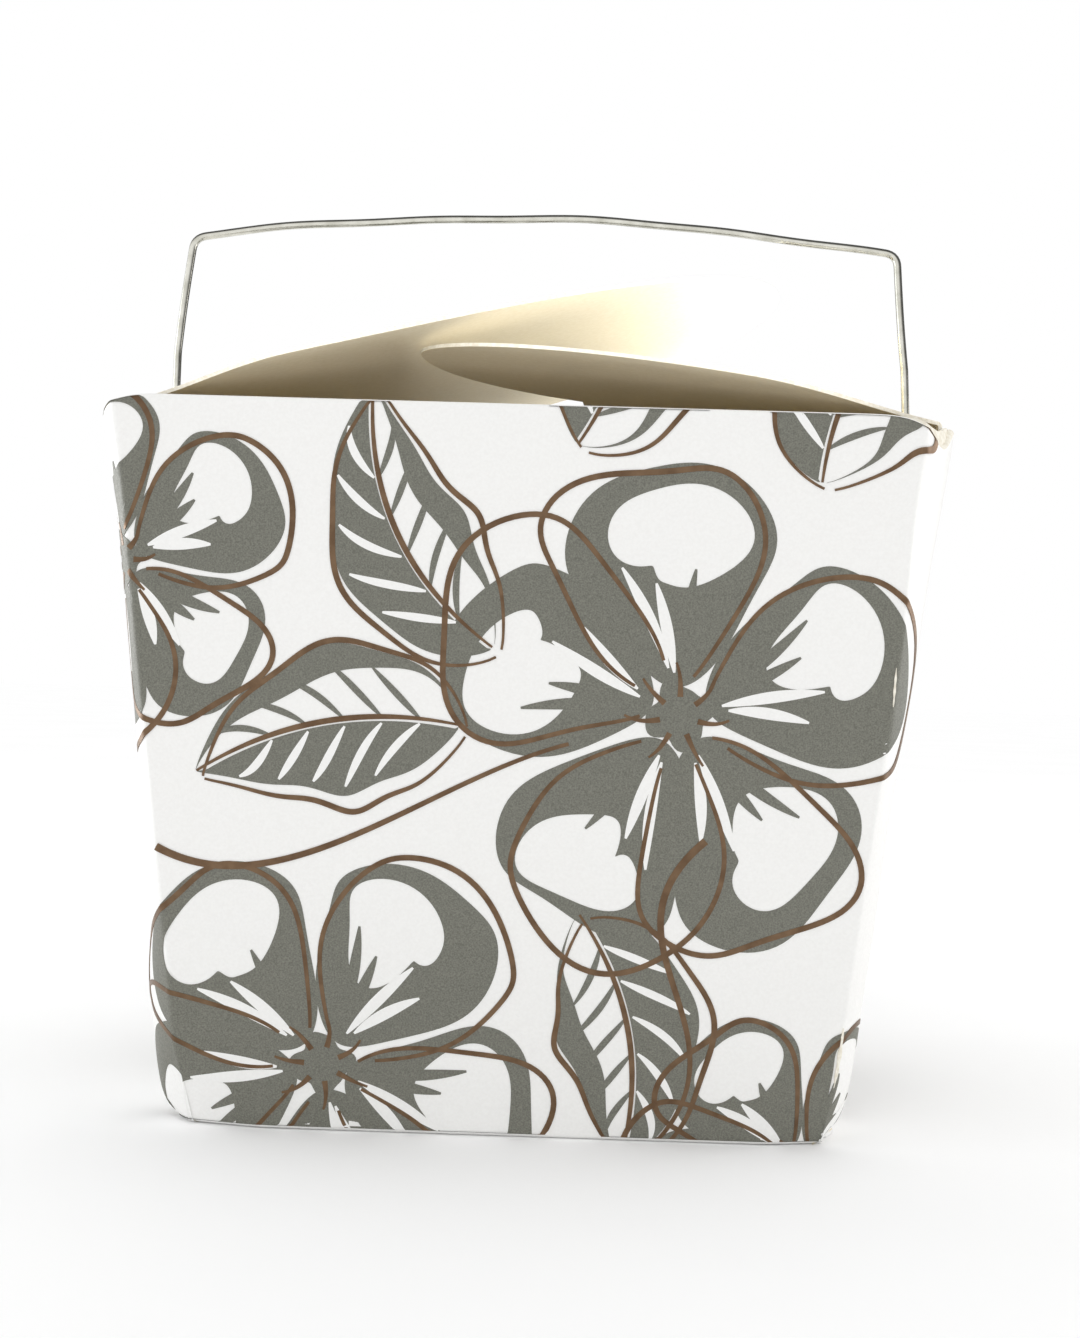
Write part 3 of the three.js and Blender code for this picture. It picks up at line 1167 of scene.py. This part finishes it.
@dataclass
class PrintRun:
    """Print on one sheet of board: fields and strokes of ink as thin films that follow it, later ones on top.

    The sheet's outer face is lifted by base. A film stands pile higher than the last one of its ink and
    reaches sunk into the board. Its points are fine apart where the board bends and coarse apart elsewhere.
    """

    surface: Surface
    base: float = 0.0
    pile: float = 0.0001
    sunk: float = 0.03
    coarse: float = 2.5
    fine: float = 0.75
    along: float = 0.4
    bending: float = 0.002
    least_length: float = 1e-9
    films: dict[Ink, list[Skin]] = field(default_factory=lambda: {ink: [] for ink in Ink})

    def bends(self, spot: Array) -> bool:
        """Whether the board bends at any of some places."""
        return self.surface.slack(spot[..., 0], spot[..., 1]).max() > self.bending

    def fill(self, first: Array, second: Array, ink: Ink, closes: bool = False) -> None:
        """Ink between two outlines: each point of one is joined to the same point of the other.

        Args:
            first, second: outlines, count by 2, in the sheet's own places.
            ink: the ink.
            closes: whether the outlines are closed loops, given without a repeated point.
        """
        rims = self.surface.confine(np.stack([first, second]))
        gap = np.linalg.norm(rims[1] - rims[0], axis=1).max()
        steps = max(math.ceil(gap / (self.fine if self.bends(rims) else self.coarse)), 2) + 1
        share = np.linspace(0, 1, steps)[None, :, None]
        spot = self.surface.confine(first[:, None] * (1 - share) + second[:, None] * share)
        across, up = spot[..., 0], spot[..., 1]
        height = self.base + ink.value + self.pile * len(self.films[ink]) + self.surface.slack(across, up)
        top = self.surface.place(across, up, height)
        under = self.surface.place(across, up, self.base - self.sunk)
        self.films[ink].append(Skin.sheet(top, under, closes=closes))

    def stroke(self, path: Array, width: ArrayLike, ink: Ink) -> None:
        """Line of ink: a strip carried along a path.

        Args:
            path: middle of the line, count by 2.
            width: its width at each point.
            ink: the ink.
        """
        width = np.broadcast_to(width, len(path))
        if self.bends(self.surface.confine(path)):
            reach = reaches(path)
            even = np.linspace(0, reach[-1], math.ceil(reach[-1] / self.along) + 1)
            width, path = np.interp(even, reach, width), sample(even, reach, path)
        heading = units(np.gradient(path, axis=0), self.least_length)
        side = np.stack([-heading[:, 1], heading[:, 0]], -1) * width[:, None] / 2
        self.fill(path - side, path + side, ink)


@dataclass(frozen=True)
class Blossom:
    """A plain five-petal blossom, its petals shaded by grey crescents and traced loosely in bronze.

    Lengths other than x, y, size, line and heart_hole are shares of size. Each streak is given by its
    fan, its start and its end.
    """

    x: float
    y: float
    size: float
    turn: float = 0.0
    line: float = 0.75
    petals: int = 5
    steps: int = 110
    petal_start: float = 0.12
    petal_reach: float = 0.44
    petal_breadth: float = 0.38
    petal_lean: float = 0.42
    tip_waves: tuple[Triple, ...] = ((0.05, 2, 1.7), (0.022, 5, 2.3))
    side_waves: tuple[Triple, ...] = ((0.08, 3, 2.1),)
    stray: float = 0.09
    stray_step: float = 2.7
    focus_out: float = 0.66
    focus_side: float = 0.07
    shade_keep: float = 0.47
    shade_swing: float = 0.37
    shade_turn: float = 0.9
    shade_side: float = 0.25
    shade_waves: tuple[Triple, ...] = ((0.05, 3, 1),)
    trace_petal: int = 2
    trace_gap: int = 8
    trace_grow: float = 1.1
    trace_out: float = 0.03
    trace_side: float = 0.05
    trace_turn: float = 0.07
    trace_thin: float = 0.35
    trace_end: float = 0.15 / math.pi
    trace_power: float = 0.6
    streak_fans: tuple[Triple, ...] = (
        (-0.3, 0.2, 0.5), (-0.12, 0.18, 0.6), (0.1, 0.18, 0.55), (0.26, 0.2, 0.62))
    streak_steps: int = 26
    streak_curl: Point = (0.7, 0.6)
    streak_width: float = 2.0
    streak_end: float = 0.04
    streak_power: float = 0.8
    heart_size: float = 0.13
    heart_hole: float = 0.02
    heart_steps: int = 60
    heart_waves: tuple[Triple, ...] = ((0.16, 4, 1), (0.06, 7, 0))
    stamens: int = 7
    stamen_steps: int = 16
    stamen_turn: float = 0.3
    stamen_curl: float = 0.2
    stamen_start: float = 0.08
    stamen_length: float = 0.14
    stamen_stray: float = 0.05
    stamen_step: float = 3.1
    stamen_thin: float = 0.6

    def petal(self, number: int) -> Array:
        """Outline of a petal, narrow at the heart, broad and softly waved outside.

        Args:
            number: which petal.
        Returns:
            Outline in the blossom's own places, with the petal along X.
        """
        turn = once_round(self.steps)
        reach = self.petal_reach * (1 - np.cos(turn)) * (1 + ripple(turn, self.tip_waves, number))
        wide = self.petal_breadth * np.sin(turn) * (1 - self.petal_lean * np.cos(turn))
        wide = wide * (1 + ripple(turn, self.side_waves, number))
        return np.stack([self.petal_start + reach, wide], -1) * self.size

    def spread(self, shape: Array, number: int, extra: float = 0.0) -> Array:
        """Turns a petal's shape to its place round the heart.

        Args:
            shape: the shape, with the petal along X.
            number: which petal.
            extra: further turn.
        Returns:
            The shape in the sheet's places.
        """
        stray = self.stray * math.sin(self.stray_step * number)
        angle = self.turn + FULL_TURN * number / self.petals + stray + extra
        spin = np.array([[math.cos(angle), math.sin(angle)], [-math.sin(angle), math.cos(angle)]])
        return shape @ spin + (self.x, self.y)

    def draw(self, run: PrintRun) -> None:
        """Draws the blossom: a crescent, streaks and an outline for each petal, then the heart.

        A crescent lies between the petal's outline and the same outline shrunk unevenly to a focus.

        Args:
            run: the print.
        """
        turn = once_round(self.steps)
        for number in range(self.petals):
            outer = self.petal(number)
            side = 1 if number % 2 else -1
            focus = np.array([self.focus_out, self.focus_side * side]) * self.size
            shaded = np.cos(turn - math.pi * (self.shade_turn + self.shade_side * side))
            keep = self.shade_keep + self.shade_swing * shaded + ripple(turn, self.shade_waves, number)
            inner = focus + (outer - focus) * keep[:, None]
            run.fill(self.spread(outer, number), self.spread(inner, number), Ink.GREY, True)
            self.streaks(run, number, side)
            trace = self.petal(number + self.trace_petal)[self.trace_gap:-self.trace_gap]
            shift = np.array([self.trace_out, self.trace_side * side]) * self.size
            trace = (trace - focus) * self.trace_grow + focus + shift
            full = swell(np.linspace(0, 1, len(trace)), self.trace_end, self.trace_power)
            pen = self.line * (self.trace_thin + (1 - self.trace_thin) * full)
            run.stroke(self.spread(trace, number, self.trace_turn * side), pen, Ink.BRONZE)
        self.heart(run)

    def streaks(self, run: PrintRun, number: int, side: int) -> None:
        """Fine streaks from the heart towards the tip of a petal, white on grey and grey on white.

        Args:
            run: the print.
            number: which petal.
            side: the side on which the petal is shaded.
        """
        share = np.linspace(0, 1, self.streak_steps)
        pen = self.line * self.streak_width * swell(share, self.streak_end, self.streak_power)
        for fan, start, end in self.streak_fans:
            out = start + (end - start) * share
            aside = fan * out * (self.streak_curl[0] + self.streak_curl[1] * share)
            way = self.spread(np.stack([out, aside], -1) * self.size, number)
            run.stroke(way, pen, Ink.WHITE if fan * side > 0 else Ink.GREY)

    def heart(self, run: PrintRun) -> None:
        """Draws a grey heart with a wavy edge and short bronze strokes round it.

        Args:
            run: the print.
        """
        turn = once_round(self.heart_steps)
        rim = np.stack([np.cos(turn), np.sin(turn)], -1)
        middle = np.array([self.x, self.y])
        wave = 1 + ripple(turn, self.heart_waves, self.turn)
        outer = middle + rim * self.heart_size * self.size * wave[:, None]
        run.fill(outer, middle + rim * self.heart_hole, Ink.GREY, True)
        share = np.linspace(0, 1, self.stamen_steps)
        for number in range(self.stamens):
            curl = self.stamen_curl * share**2 * math.cos(number)
            swing = self.turn + self.stamen_turn + FULL_TURN * number / self.stamens + curl
            length = self.stamen_length + self.stamen_stray * math.sin(self.stamen_step * number)
            out = self.size * (self.stamen_start + length * share)
            way = middle + out[:, None] * np.stack([np.cos(swing), np.sin(swing)], -1)
            run.stroke(way, self.line * (1 - self.stamen_thin * share), Ink.BRONZE)


@dataclass(frozen=True)
class Leaf:
    """A plain lance leaf: one half grey, the other veined, traced loosely in bronze.

    Lengths other than base, tip, width and line are shares of the leaf's length or half width.
    """

    base: Point
    tip: Point
    width: float
    sag: float = 0.12
    line: float = 0.75
    steps: int = 90
    end: float = 0.004
    belly: float = 0.8
    fullness: float = 0.85
    edge_wave: float = 0.05
    edge_count: float = 17.0
    gap: float = 0.06
    gap_most: float = 0.5
    rim_keep: float = 0.72
    rim_swing: float = 0.2
    rim_count: float = 5.0
    veins: int = 5
    vein_starts: Point = (0.14, 0.70)
    vein_steps: int = 22
    vein_reach: float = 0.17
    vein_width: float = 1.15
    vein_end: float = 0.05
    vein_power: float = 0.7
    vein_length: float = 0.74
    white_start: float = 0.1
    white_length: float = 0.78
    white_width: float = 1.2
    trace_thin: float = 0.4
    trace_grow: float = 1.12
    trace_shift: Point = (0.1, -0.09)

    def spine(self, share: Array) -> tuple[Array, Array]:
        """Middle vein, a parabola that sags to one side, and the direction across it.

        Args:
            share: shares of the way from base to tip.
        Returns:
            Points and unit normals.
        """
        base, tip = np.array(self.base, float), np.array(self.tip, float)
        whole = tip - base
        normal = np.array([-whole[1], whole[0]])
        way = base + share[:, None] * whole + (self.sag * 4 * share * (1 - share))[:, None] * normal
        along = units(np.gradient(way, axis=0))
        return way, np.stack([-along[:, 1], along[:, 0]], -1)

    def draw(self, run: PrintRun) -> None:
        """Draws the leaf: a grey half, a grey rim on the other, veins, and a bronze vein and outline.

        Args:
            run: the print.
        """
        share = np.linspace(self.end, 1 - self.end, self.steps)
        way, across = self.spine(share)
        half = self.width * (np.sin(math.pi * share**self.belly) ** self.fullness)
        half = half * (1 + self.edge_wave * np.sin(self.edge_count * share))
        gap = np.minimum(self.gap * self.width, half * self.gap_most)
        run.fill(way + across * gap[:, None], way + across * half[:, None], Ink.GREY)
        rim = half * (self.rim_keep + self.rim_swing * np.cos(self.rim_count * share))
        run.fill(way - across * rim[:, None], way - across * half[:, None], Ink.GREY)
        self.draw_veins(run, share, half)
        pen = self.line * (self.trace_thin + (1 - self.trace_thin) * np.sin(math.pi * share))
        run.stroke(way, pen, Ink.BRONZE)
        shift = np.array(self.trace_shift) * self.width
        for side in (1, -1):
            trace = way + across * (side * half * self.trace_grow)[:, None] + shift
            run.stroke(trace, pen, Ink.BRONZE)

    def draw_veins(self, run: PrintRun, share: Array, half: Array) -> None:
        """Draws slanting veins from the middle one outwards, grey on the pale half and white on the grey.

        Args:
            run: the print.
            share: shares of the way from base to tip.
            half: half the leaf's width at each.
        """
        way, across = self.spine(share)
        step = np.linspace(0, 1, self.vein_steps)
        pen = self.line * self.vein_width * swell(step, self.vein_end, self.vein_power)
        for start in np.linspace(*self.vein_starts, self.veins):
            at = start + self.vein_reach * step
            spot, lean, size = sample(at, share, way), sample(at, share, across), np.interp(at, share, half)
            run.stroke(spot - lean * (size * self.vein_length * step)[:, None], pen, Ink.GREY)
            white = size * (self.white_start + self.white_length * step)
            run.stroke(spot + lean * white[:, None], pen * self.white_width, Ink.WHITE)


@dataclass(frozen=True)
class Stem:
    """A bronze stem through a few points."""

    points: tuple[Point, ...]
    line: float = 1.0
    thin: float = 0.5
    steps: int = 80

    def draw(self, run: PrintRun) -> None:
        """Draws the stem as the one polynomial through its points, thinning along it.

        Args:
            run: the print.
        """
        knots = np.array(self.points)
        order = np.arange(len(knots))
        share = np.linspace(0, len(knots) - 1, self.steps)
        curve = [np.polyval(np.polyfit(order, knots[:, axis], len(knots) - 1), share) for axis in (0, 1)]
        pen = self.line * (1 - self.thin * np.linspace(0, 1, self.steps))
        run.stroke(np.stack(curve, -1), pen, Ink.BRONZE)


@dataclass(frozen=True)
class Rub:
    """A spot where the print has rubbed off the board, along a crease or at a corner."""

    start: Point
    end: Point
    width: float
    steps: int = 30
    tip: float = 0.02
    power: float = 0.7
    uneven: float = 0.2
    uneven_count: float = 19.0

    def draw(self, run: PrintRun) -> None:
        """Draws the spot as a lens with an uneven edge.

        Args:
            run: the print.
        """
        share = np.linspace(0, 1, self.steps)
        way = np.array(self.start) + share[:, None] * (np.array(self.end) - np.array(self.start))
        uneven = 1 - self.uneven + self.uneven * np.sin(self.uneven_count * share + self.end[1])
        run.stroke(way, self.width * swell(share, self.tip, self.power) * uneven, Ink.RUBBED)


FRONT_PRINT = (
    Blossom(20, 56, 31, 0.35), Blossom(-25, 9, 29, 1.0), Blossom(-52, 74, 22, 0.55),
    Blossom(38, -3, 21, 0.9),
    Leaf((-8, 54), (-42, 47), 9.5, -0.1), Leaf((-4, 64), (-20, 97), 8.5, 0.14),
    Leaf((8, 30), (14, -4), 9.0, 0.12), Leaf((37, 86), (50, 112), 9.5, 0.1),
    Leaf((6, 90), (12, 118), 8.5, -0.1),
    Stem(((-47, 37), (-30, 36), (-12, 44), (6, 52))), Stem(((24, 40), (19, 26), (23, 12), (15, -4))),
    Leaf((64, 48), (88, 84), 9.0, 0.1), Leaf((-76, 58), (-98, 88), 9.0, -0.1), Blossom(88, 90, 18, 0.9),
    Rub((42.0, 8), (42.8, 16), 0.5), Rub((47.2, 58), (47.4, 63), 0.3),
)
BACK_PRINT = (
    Blossom(-20, 60, 27, 0.9), Blossom(30, 14, 26, 0.2), Blossom(50, 90, 22, 0.6), Blossom(-56, 6, 20, 0.3),
    Leaf((6, 54), (44, 58), 8.5, 0.1), Leaf((4, 66), (22, 95), 7.5, -0.12),
    Leaf((-8, 36), (-14, 3), 8.0, -0.12), Leaf((-38, 36), (-34, 8), 6.0, 0.12),
    Leaf((-42, 82), (-50, 106), 8.0, -0.1),
    Stem(((52, 47), (32, 45), (12, 52), (-8, 57))), Leaf((-62, 50), (-86, 82), 8.0, -0.1),
    Leaf((66, 58), (92, 84), 8.0, 0.1), Blossom(76, 50, 13, 0.4), Blossom(-76, 90, 16, 0.9),
)
SIDE_PRINT = (
    Blossom(0, 14, 19, 0.5), Leaf((-2, 26), (4, 50), 6.0, 0.1), Leaf((-12, 8), (-23, 3), 4.0, 0.1),
)
LEFT_FLAP_PRINT = (
    Blossom(10, 34, 24, 0.2), Leaf((10, 56), (8, 90), 8.0, 0.1),
    Leaf((-10, 20), (-32, 8), 7.0, 0.1), Leaf((26, 50), (34, 80), 7.0, -0.1),
)
RIGHT_FLAP_PRINT = (
    Blossom(16, 22, 20, 0.6), Leaf((-8, 24), (-24, 62), 8.0, 0.1), Leaf((-20, 10), (-42, 26), 6.0, 0.1),
)


def make_print(name: str, run: PrintRun, motifs: Sequence[Blossom | Leaf | Stem | Rub],
               paints: Paints) -> list[bpy.types.Object]:
    """Draws motifs on a sheet and makes one piece for each ink.

    Args:
        name: name of the print.
        run: an empty print on the sheet.
        motifs: what it shows.
        paints: materials of the box.
    Returns:
        The pieces, one for each ink that the motifs use.
    """
    for motif in motifs:
        motif.draw(run)
    return [make_piece(f"{name}_{ink.name.lower()}", films, [paints[INK_PAINTS[ink]]])
            for ink, films in run.films.items() if films]


@dataclass(frozen=True)
class Pail:
    """The folded pail: cup, front and back wrap, and their print."""

    shape: PailShape
    front_lap: float = 0.7

    def build(self, paints: Paints) -> list[bpy.types.Object]:
        """All pieces of the pail, riding on it.

        Args:
            paints: materials of the box.
        Returns:
            The pieces.
        """
        board = board_finishes(paints)
        cup = Cup(self.shape)
        front = Wrap(self.shape, -1, FRONT_CORNERS, lap=self.front_lap)
        back = Wrap(self.shape, 1, BACK_CORNERS)
        inner = make_piece("inner_board", [cup.walls(BOARD_SIDES), cup.base(BASE_SIDES)], board)
        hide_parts("carton")
        pieces = [inner]
        pieces.append(make_piece("front_board", [front.skin(BOARD_SIDES)], board))
        pieces.append(make_piece("back_board", [back.skin(BOARD_SIDES)], board))
        pieces += make_print("front_print", PrintRun(front), FRONT_PRINT, paints)
        pieces += make_print("back_print", PrintRun(back), BACK_PRINT, paints)
        for side, name in ((-1, "left"), (1, "right")):
            pieces += make_print(f"{name}_print", PrintRun(SidePanel(self.shape, side)), SIDE_PRINT, paints)
        for piece in pieces:
            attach(piece, "pail")
        return pieces


class Tint(Enum):
    """Colours of the lights."""

    WARM = (1.0, 0.98, 0.95)
    COOL = (0.93, 0.97, 1.0)
    PLAIN = (1.0, 1.0, 1.0)


@dataclass(frozen=True)
class Lamp:
    """A square soft light: its place, what it looks at and its side in millimetres, its power in watts."""

    name: str
    place: Triple
    aim: Triple
    size: float
    power: float
    tint: Tint
    only_mirrored: bool = False

    def build(self, lit: Sequence[bpy.types.Object]) -> None:
        """Sets up the light.

        Args:
            lit: the only pieces that it reaches, or none for all.
        """
        data = bpy.data.lights.new(self.name, "AREA")
        data.energy, data.size, data.color = self.power, self.size * MM, self.tint.value
        lamp = bpy.data.objects.new(self.name, data)
        away = np.subtract(self.place, self.aim)
        away = away / np.linalg.norm(away)
        side = np.cross((0, 0, 1), away)
        side /= np.linalg.norm(side)
        lamp.matrix_world = placed(side, np.cross(away, side), away, self.place)
        lamp.visible_camera = False
        if lit:
            lamp.light_linking.receiver_collection = bpy.data.collections.new(f"{self.name}_receivers")
            for piece in lit:
                lamp.light_linking.receiver_collection.objects.link(piece)
        bpy.context.scene.collection.objects.link(lamp)
        if self.only_mirrored:
            lamp.visible_diffuse = False


BOX_MIDDLE: Triple = (0.0, 0.0, 60.0)
ROOM_LAMPS = (
    Lamp("right_window", (640, 40, 90), BOX_MIDDLE, 400, 0.7, Tint.WARM),
    Lamp("left_window", (-640, 0, 160), BOX_MIDDLE, 400, 0.7, Tint.COOL),
)
UPPER_FLAP_LAMP = Lamp("low_window", (150, 0, 62), (25, 0, 114), 80, 0.45, Tint.COOL)
FLAP_LAMP = Lamp("front_window", (0, -270, 12), (0, 0, 105), 90, 0.5, Tint.WARM)
CORNER_LAMPS = (
    Lamp("left_sheen", (-330, 60, 110), BOX_MIDDLE, 220, 0.75, Tint.PLAIN, only_mirrored=True),
    Lamp("right_sheen", (330, 60, 110), BOX_MIDDLE, 220, 0.3, Tint.PLAIN, only_mirrored=True),
)


@dataclass(frozen=True)
class Studio:
    """Pale floor, soft light and the camera."""

    focal_pixels: float = 1611.4
    image_width: float = 1080.0
    sensor: float = 36.0
    near: float = 0.005
    eye: Triple = (4.8435, -249.16, 60.59)
    yaw: float = 0.0136
    pitch: float = 0.0044
    roll: float = 0.0305
    floor_half: float = 4000.0
    floor_drop: float = 0.05
    floor_under: float = 10.0
    room_way: Triple = (0.0, 1.0, 0.0)
    room_reach: Point = (-1.0, 1.0)
    room: Point = (0.91, 1.0)
    ceiling_way: Triple = (0.45, 0.45, 1.0)
    ceiling_reach: Point = (0.1, 0.55)
    ceiling: Point = (1.0, 0.1)
    seen: float = 1.0
    sky_power: float = 0.25
    sky_spread: float = math.radians(80)

    def floor(self) -> None:
        """A pale floor far larger than the view."""
        share = np.linspace(-self.floor_half, self.floor_half, 3)
        across, deep = np.meshgrid(share, share, indexing="ij")
        flat = np.stack([across, deep, 0 * across], -1)
        slab = Skin.sheet(flat - (0, 0, self.floor_drop), flat - (0, 0, self.floor_under))
        piece = make_piece("floor", [slab], [FLOOR_FINISH.material()])

    def world(self) -> None:
        """A white surround, brighter behind the box, with a dark ceiling for the wire to mirror."""
        world = bpy.data.worlds.new("surround")
        world.use_nodes = True
        nodes, links = world.node_tree.nodes, world.node_tree.links
        heading, ray = nodes.new("ShaderNodeTexCoord"), nodes.new("ShaderNodeLightPath")
        room = nodes["Background"]
        mirrored, seen = nodes.new("ShaderNodeBackground"), nodes.new("ShaderNodeBackground")
        self.shade(world, heading, room, self.room_way, self.room_reach, self.room)
        self.shade(world, heading, mirrored, self.ceiling_way, self.ceiling_reach, self.ceiling)
        seen.inputs["Strength"].default_value = self.seen
        for background in (room, mirrored, seen):
            background.inputs["Color"].default_value = (1.0, 1.0, 1.0, 1.0)
        shown = room
        for background, kind in ((mirrored, "Is Glossy Ray"), (seen, "Is Camera Ray")):
            either = nodes.new("ShaderNodeMixShader")
            links.new(ray.outputs[kind], either.inputs["Fac"])
            links.new(shown.outputs[0], either.inputs[1])
            links.new(background.outputs["Background"], either.inputs[2])
            shown = either
        links.new(shown.outputs["Shader"], nodes["World Output"].inputs["Surface"])
        scene = bpy.context.scene
        scene.world = world
        scene.view_settings.view_transform = "Standard"

    @staticmethod
    def shade(world: bpy.types.World, heading: bpy.types.Node, background: bpy.types.Node,
              towards: Triple, reach: Point, strength: Point) -> None:
        """Strength of a background that changes along one direction.

        Args:
            world: the world.
            heading: node that gives directions.
            background: the background.
            towards: the direction.
            reach: where along it the change starts and ends.
            strength: strengths at the start and the end.
        """
        nodes, links = world.node_tree.nodes, world.node_tree.links
        along = nodes.new("ShaderNodeVectorMath")
        along.operation = "DOT_PRODUCT"
        along.inputs[1].default_value = towards
        ramp = map_range(nodes, reach, strength)
        links.new(heading.outputs["Generated"], along.inputs[0])
        links.new(along.outputs["Value"], ramp.inputs["Value"])
        links.new(ramp.outputs["Result"], background.inputs["Strength"])

    def sky(self) -> None:
        """A wide, weak light from above that the wire doesn't mirror."""
        data = bpy.data.lights.new("sky", "SUN")
        data.energy, data.angle = self.sky_power, self.sky_spread
        above = bpy.data.objects.new("sky", data)
        above.visible_glossy = False
        bpy.context.scene.collection.objects.link(above)

    def camera(self) -> None:
        """The camera at the photo's angle: turned, tipped and rolled by small angles."""
        ahead = np.array([-math.sin(self.yaw), math.cos(self.yaw), 0])
        right = np.array([math.cos(self.yaw), math.sin(self.yaw), 0])
        above = np.array([0.0, 0.0, 1.0])
        look = ahead * math.cos(self.pitch) + above * math.sin(self.pitch)
        over = above * math.cos(self.pitch) - ahead * math.sin(self.pitch)
        data = bpy.data.cameras.new("camera")
        data.sensor_fit, data.sensor_width = "HORIZONTAL", self.sensor
        data.lens = self.focal_pixels * self.sensor / self.image_width
        data.clip_start = self.near
        camera = bpy.data.objects.new("camera", data)
        camera.matrix_world = placed(right * math.cos(self.roll) + over * math.sin(self.roll),
                                     over * math.cos(self.roll) - right * math.sin(self.roll),
                                     -look, self.eye)
        bpy.context.scene.collection.objects.link(camera)
        bpy.context.scene.camera = camera

    def build(self, pail: Sequence[bpy.types.Object], flaps: Sequence[bpy.types.Object]) -> None:
        """Sets up floor, surround, lights and camera.

        Args:
            pail: pieces of the pail, whose corners mirror a soft light on each side.
            flaps: the upper and the lower lid flap, which small low lights reach from below.
        """
        self.floor()
        self.world()
        for lamp in ROOM_LAMPS:
            lamp.build(())
        UPPER_FLAP_LAMP.build(flaps[:1])
        FLAP_LAMP.build(flaps)
        for lamp in CORNER_LAMPS:
            lamp.build(pail)
        self.sky()
        self.camera()


def main() -> None:
    """Builds the pail, its flaps, the bail and the studio."""
    logging.basicConfig(level=logging.INFO, format="%(name)s %(message)s")
    paints = Paint.materials()
    shape = PailShape.from_frame()
    pail = Pail(shape).build(paints)
    boards = []
    for flap, motifs in ((LeftFlap(shape), LEFT_FLAP_PRINT), (RightFlap(shape), RIGHT_FLAP_PRINT)):
        boards.append(flap.build(paints))
        for piece in make_print(f"{flap.node}_print", PrintRun(flap, shape.board / 2), motifs, paints):
            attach(piece, flap.body)
    Bail().build(paints)
    Studio().build(pail, boards)


if __name__ == "__main__":
    main()
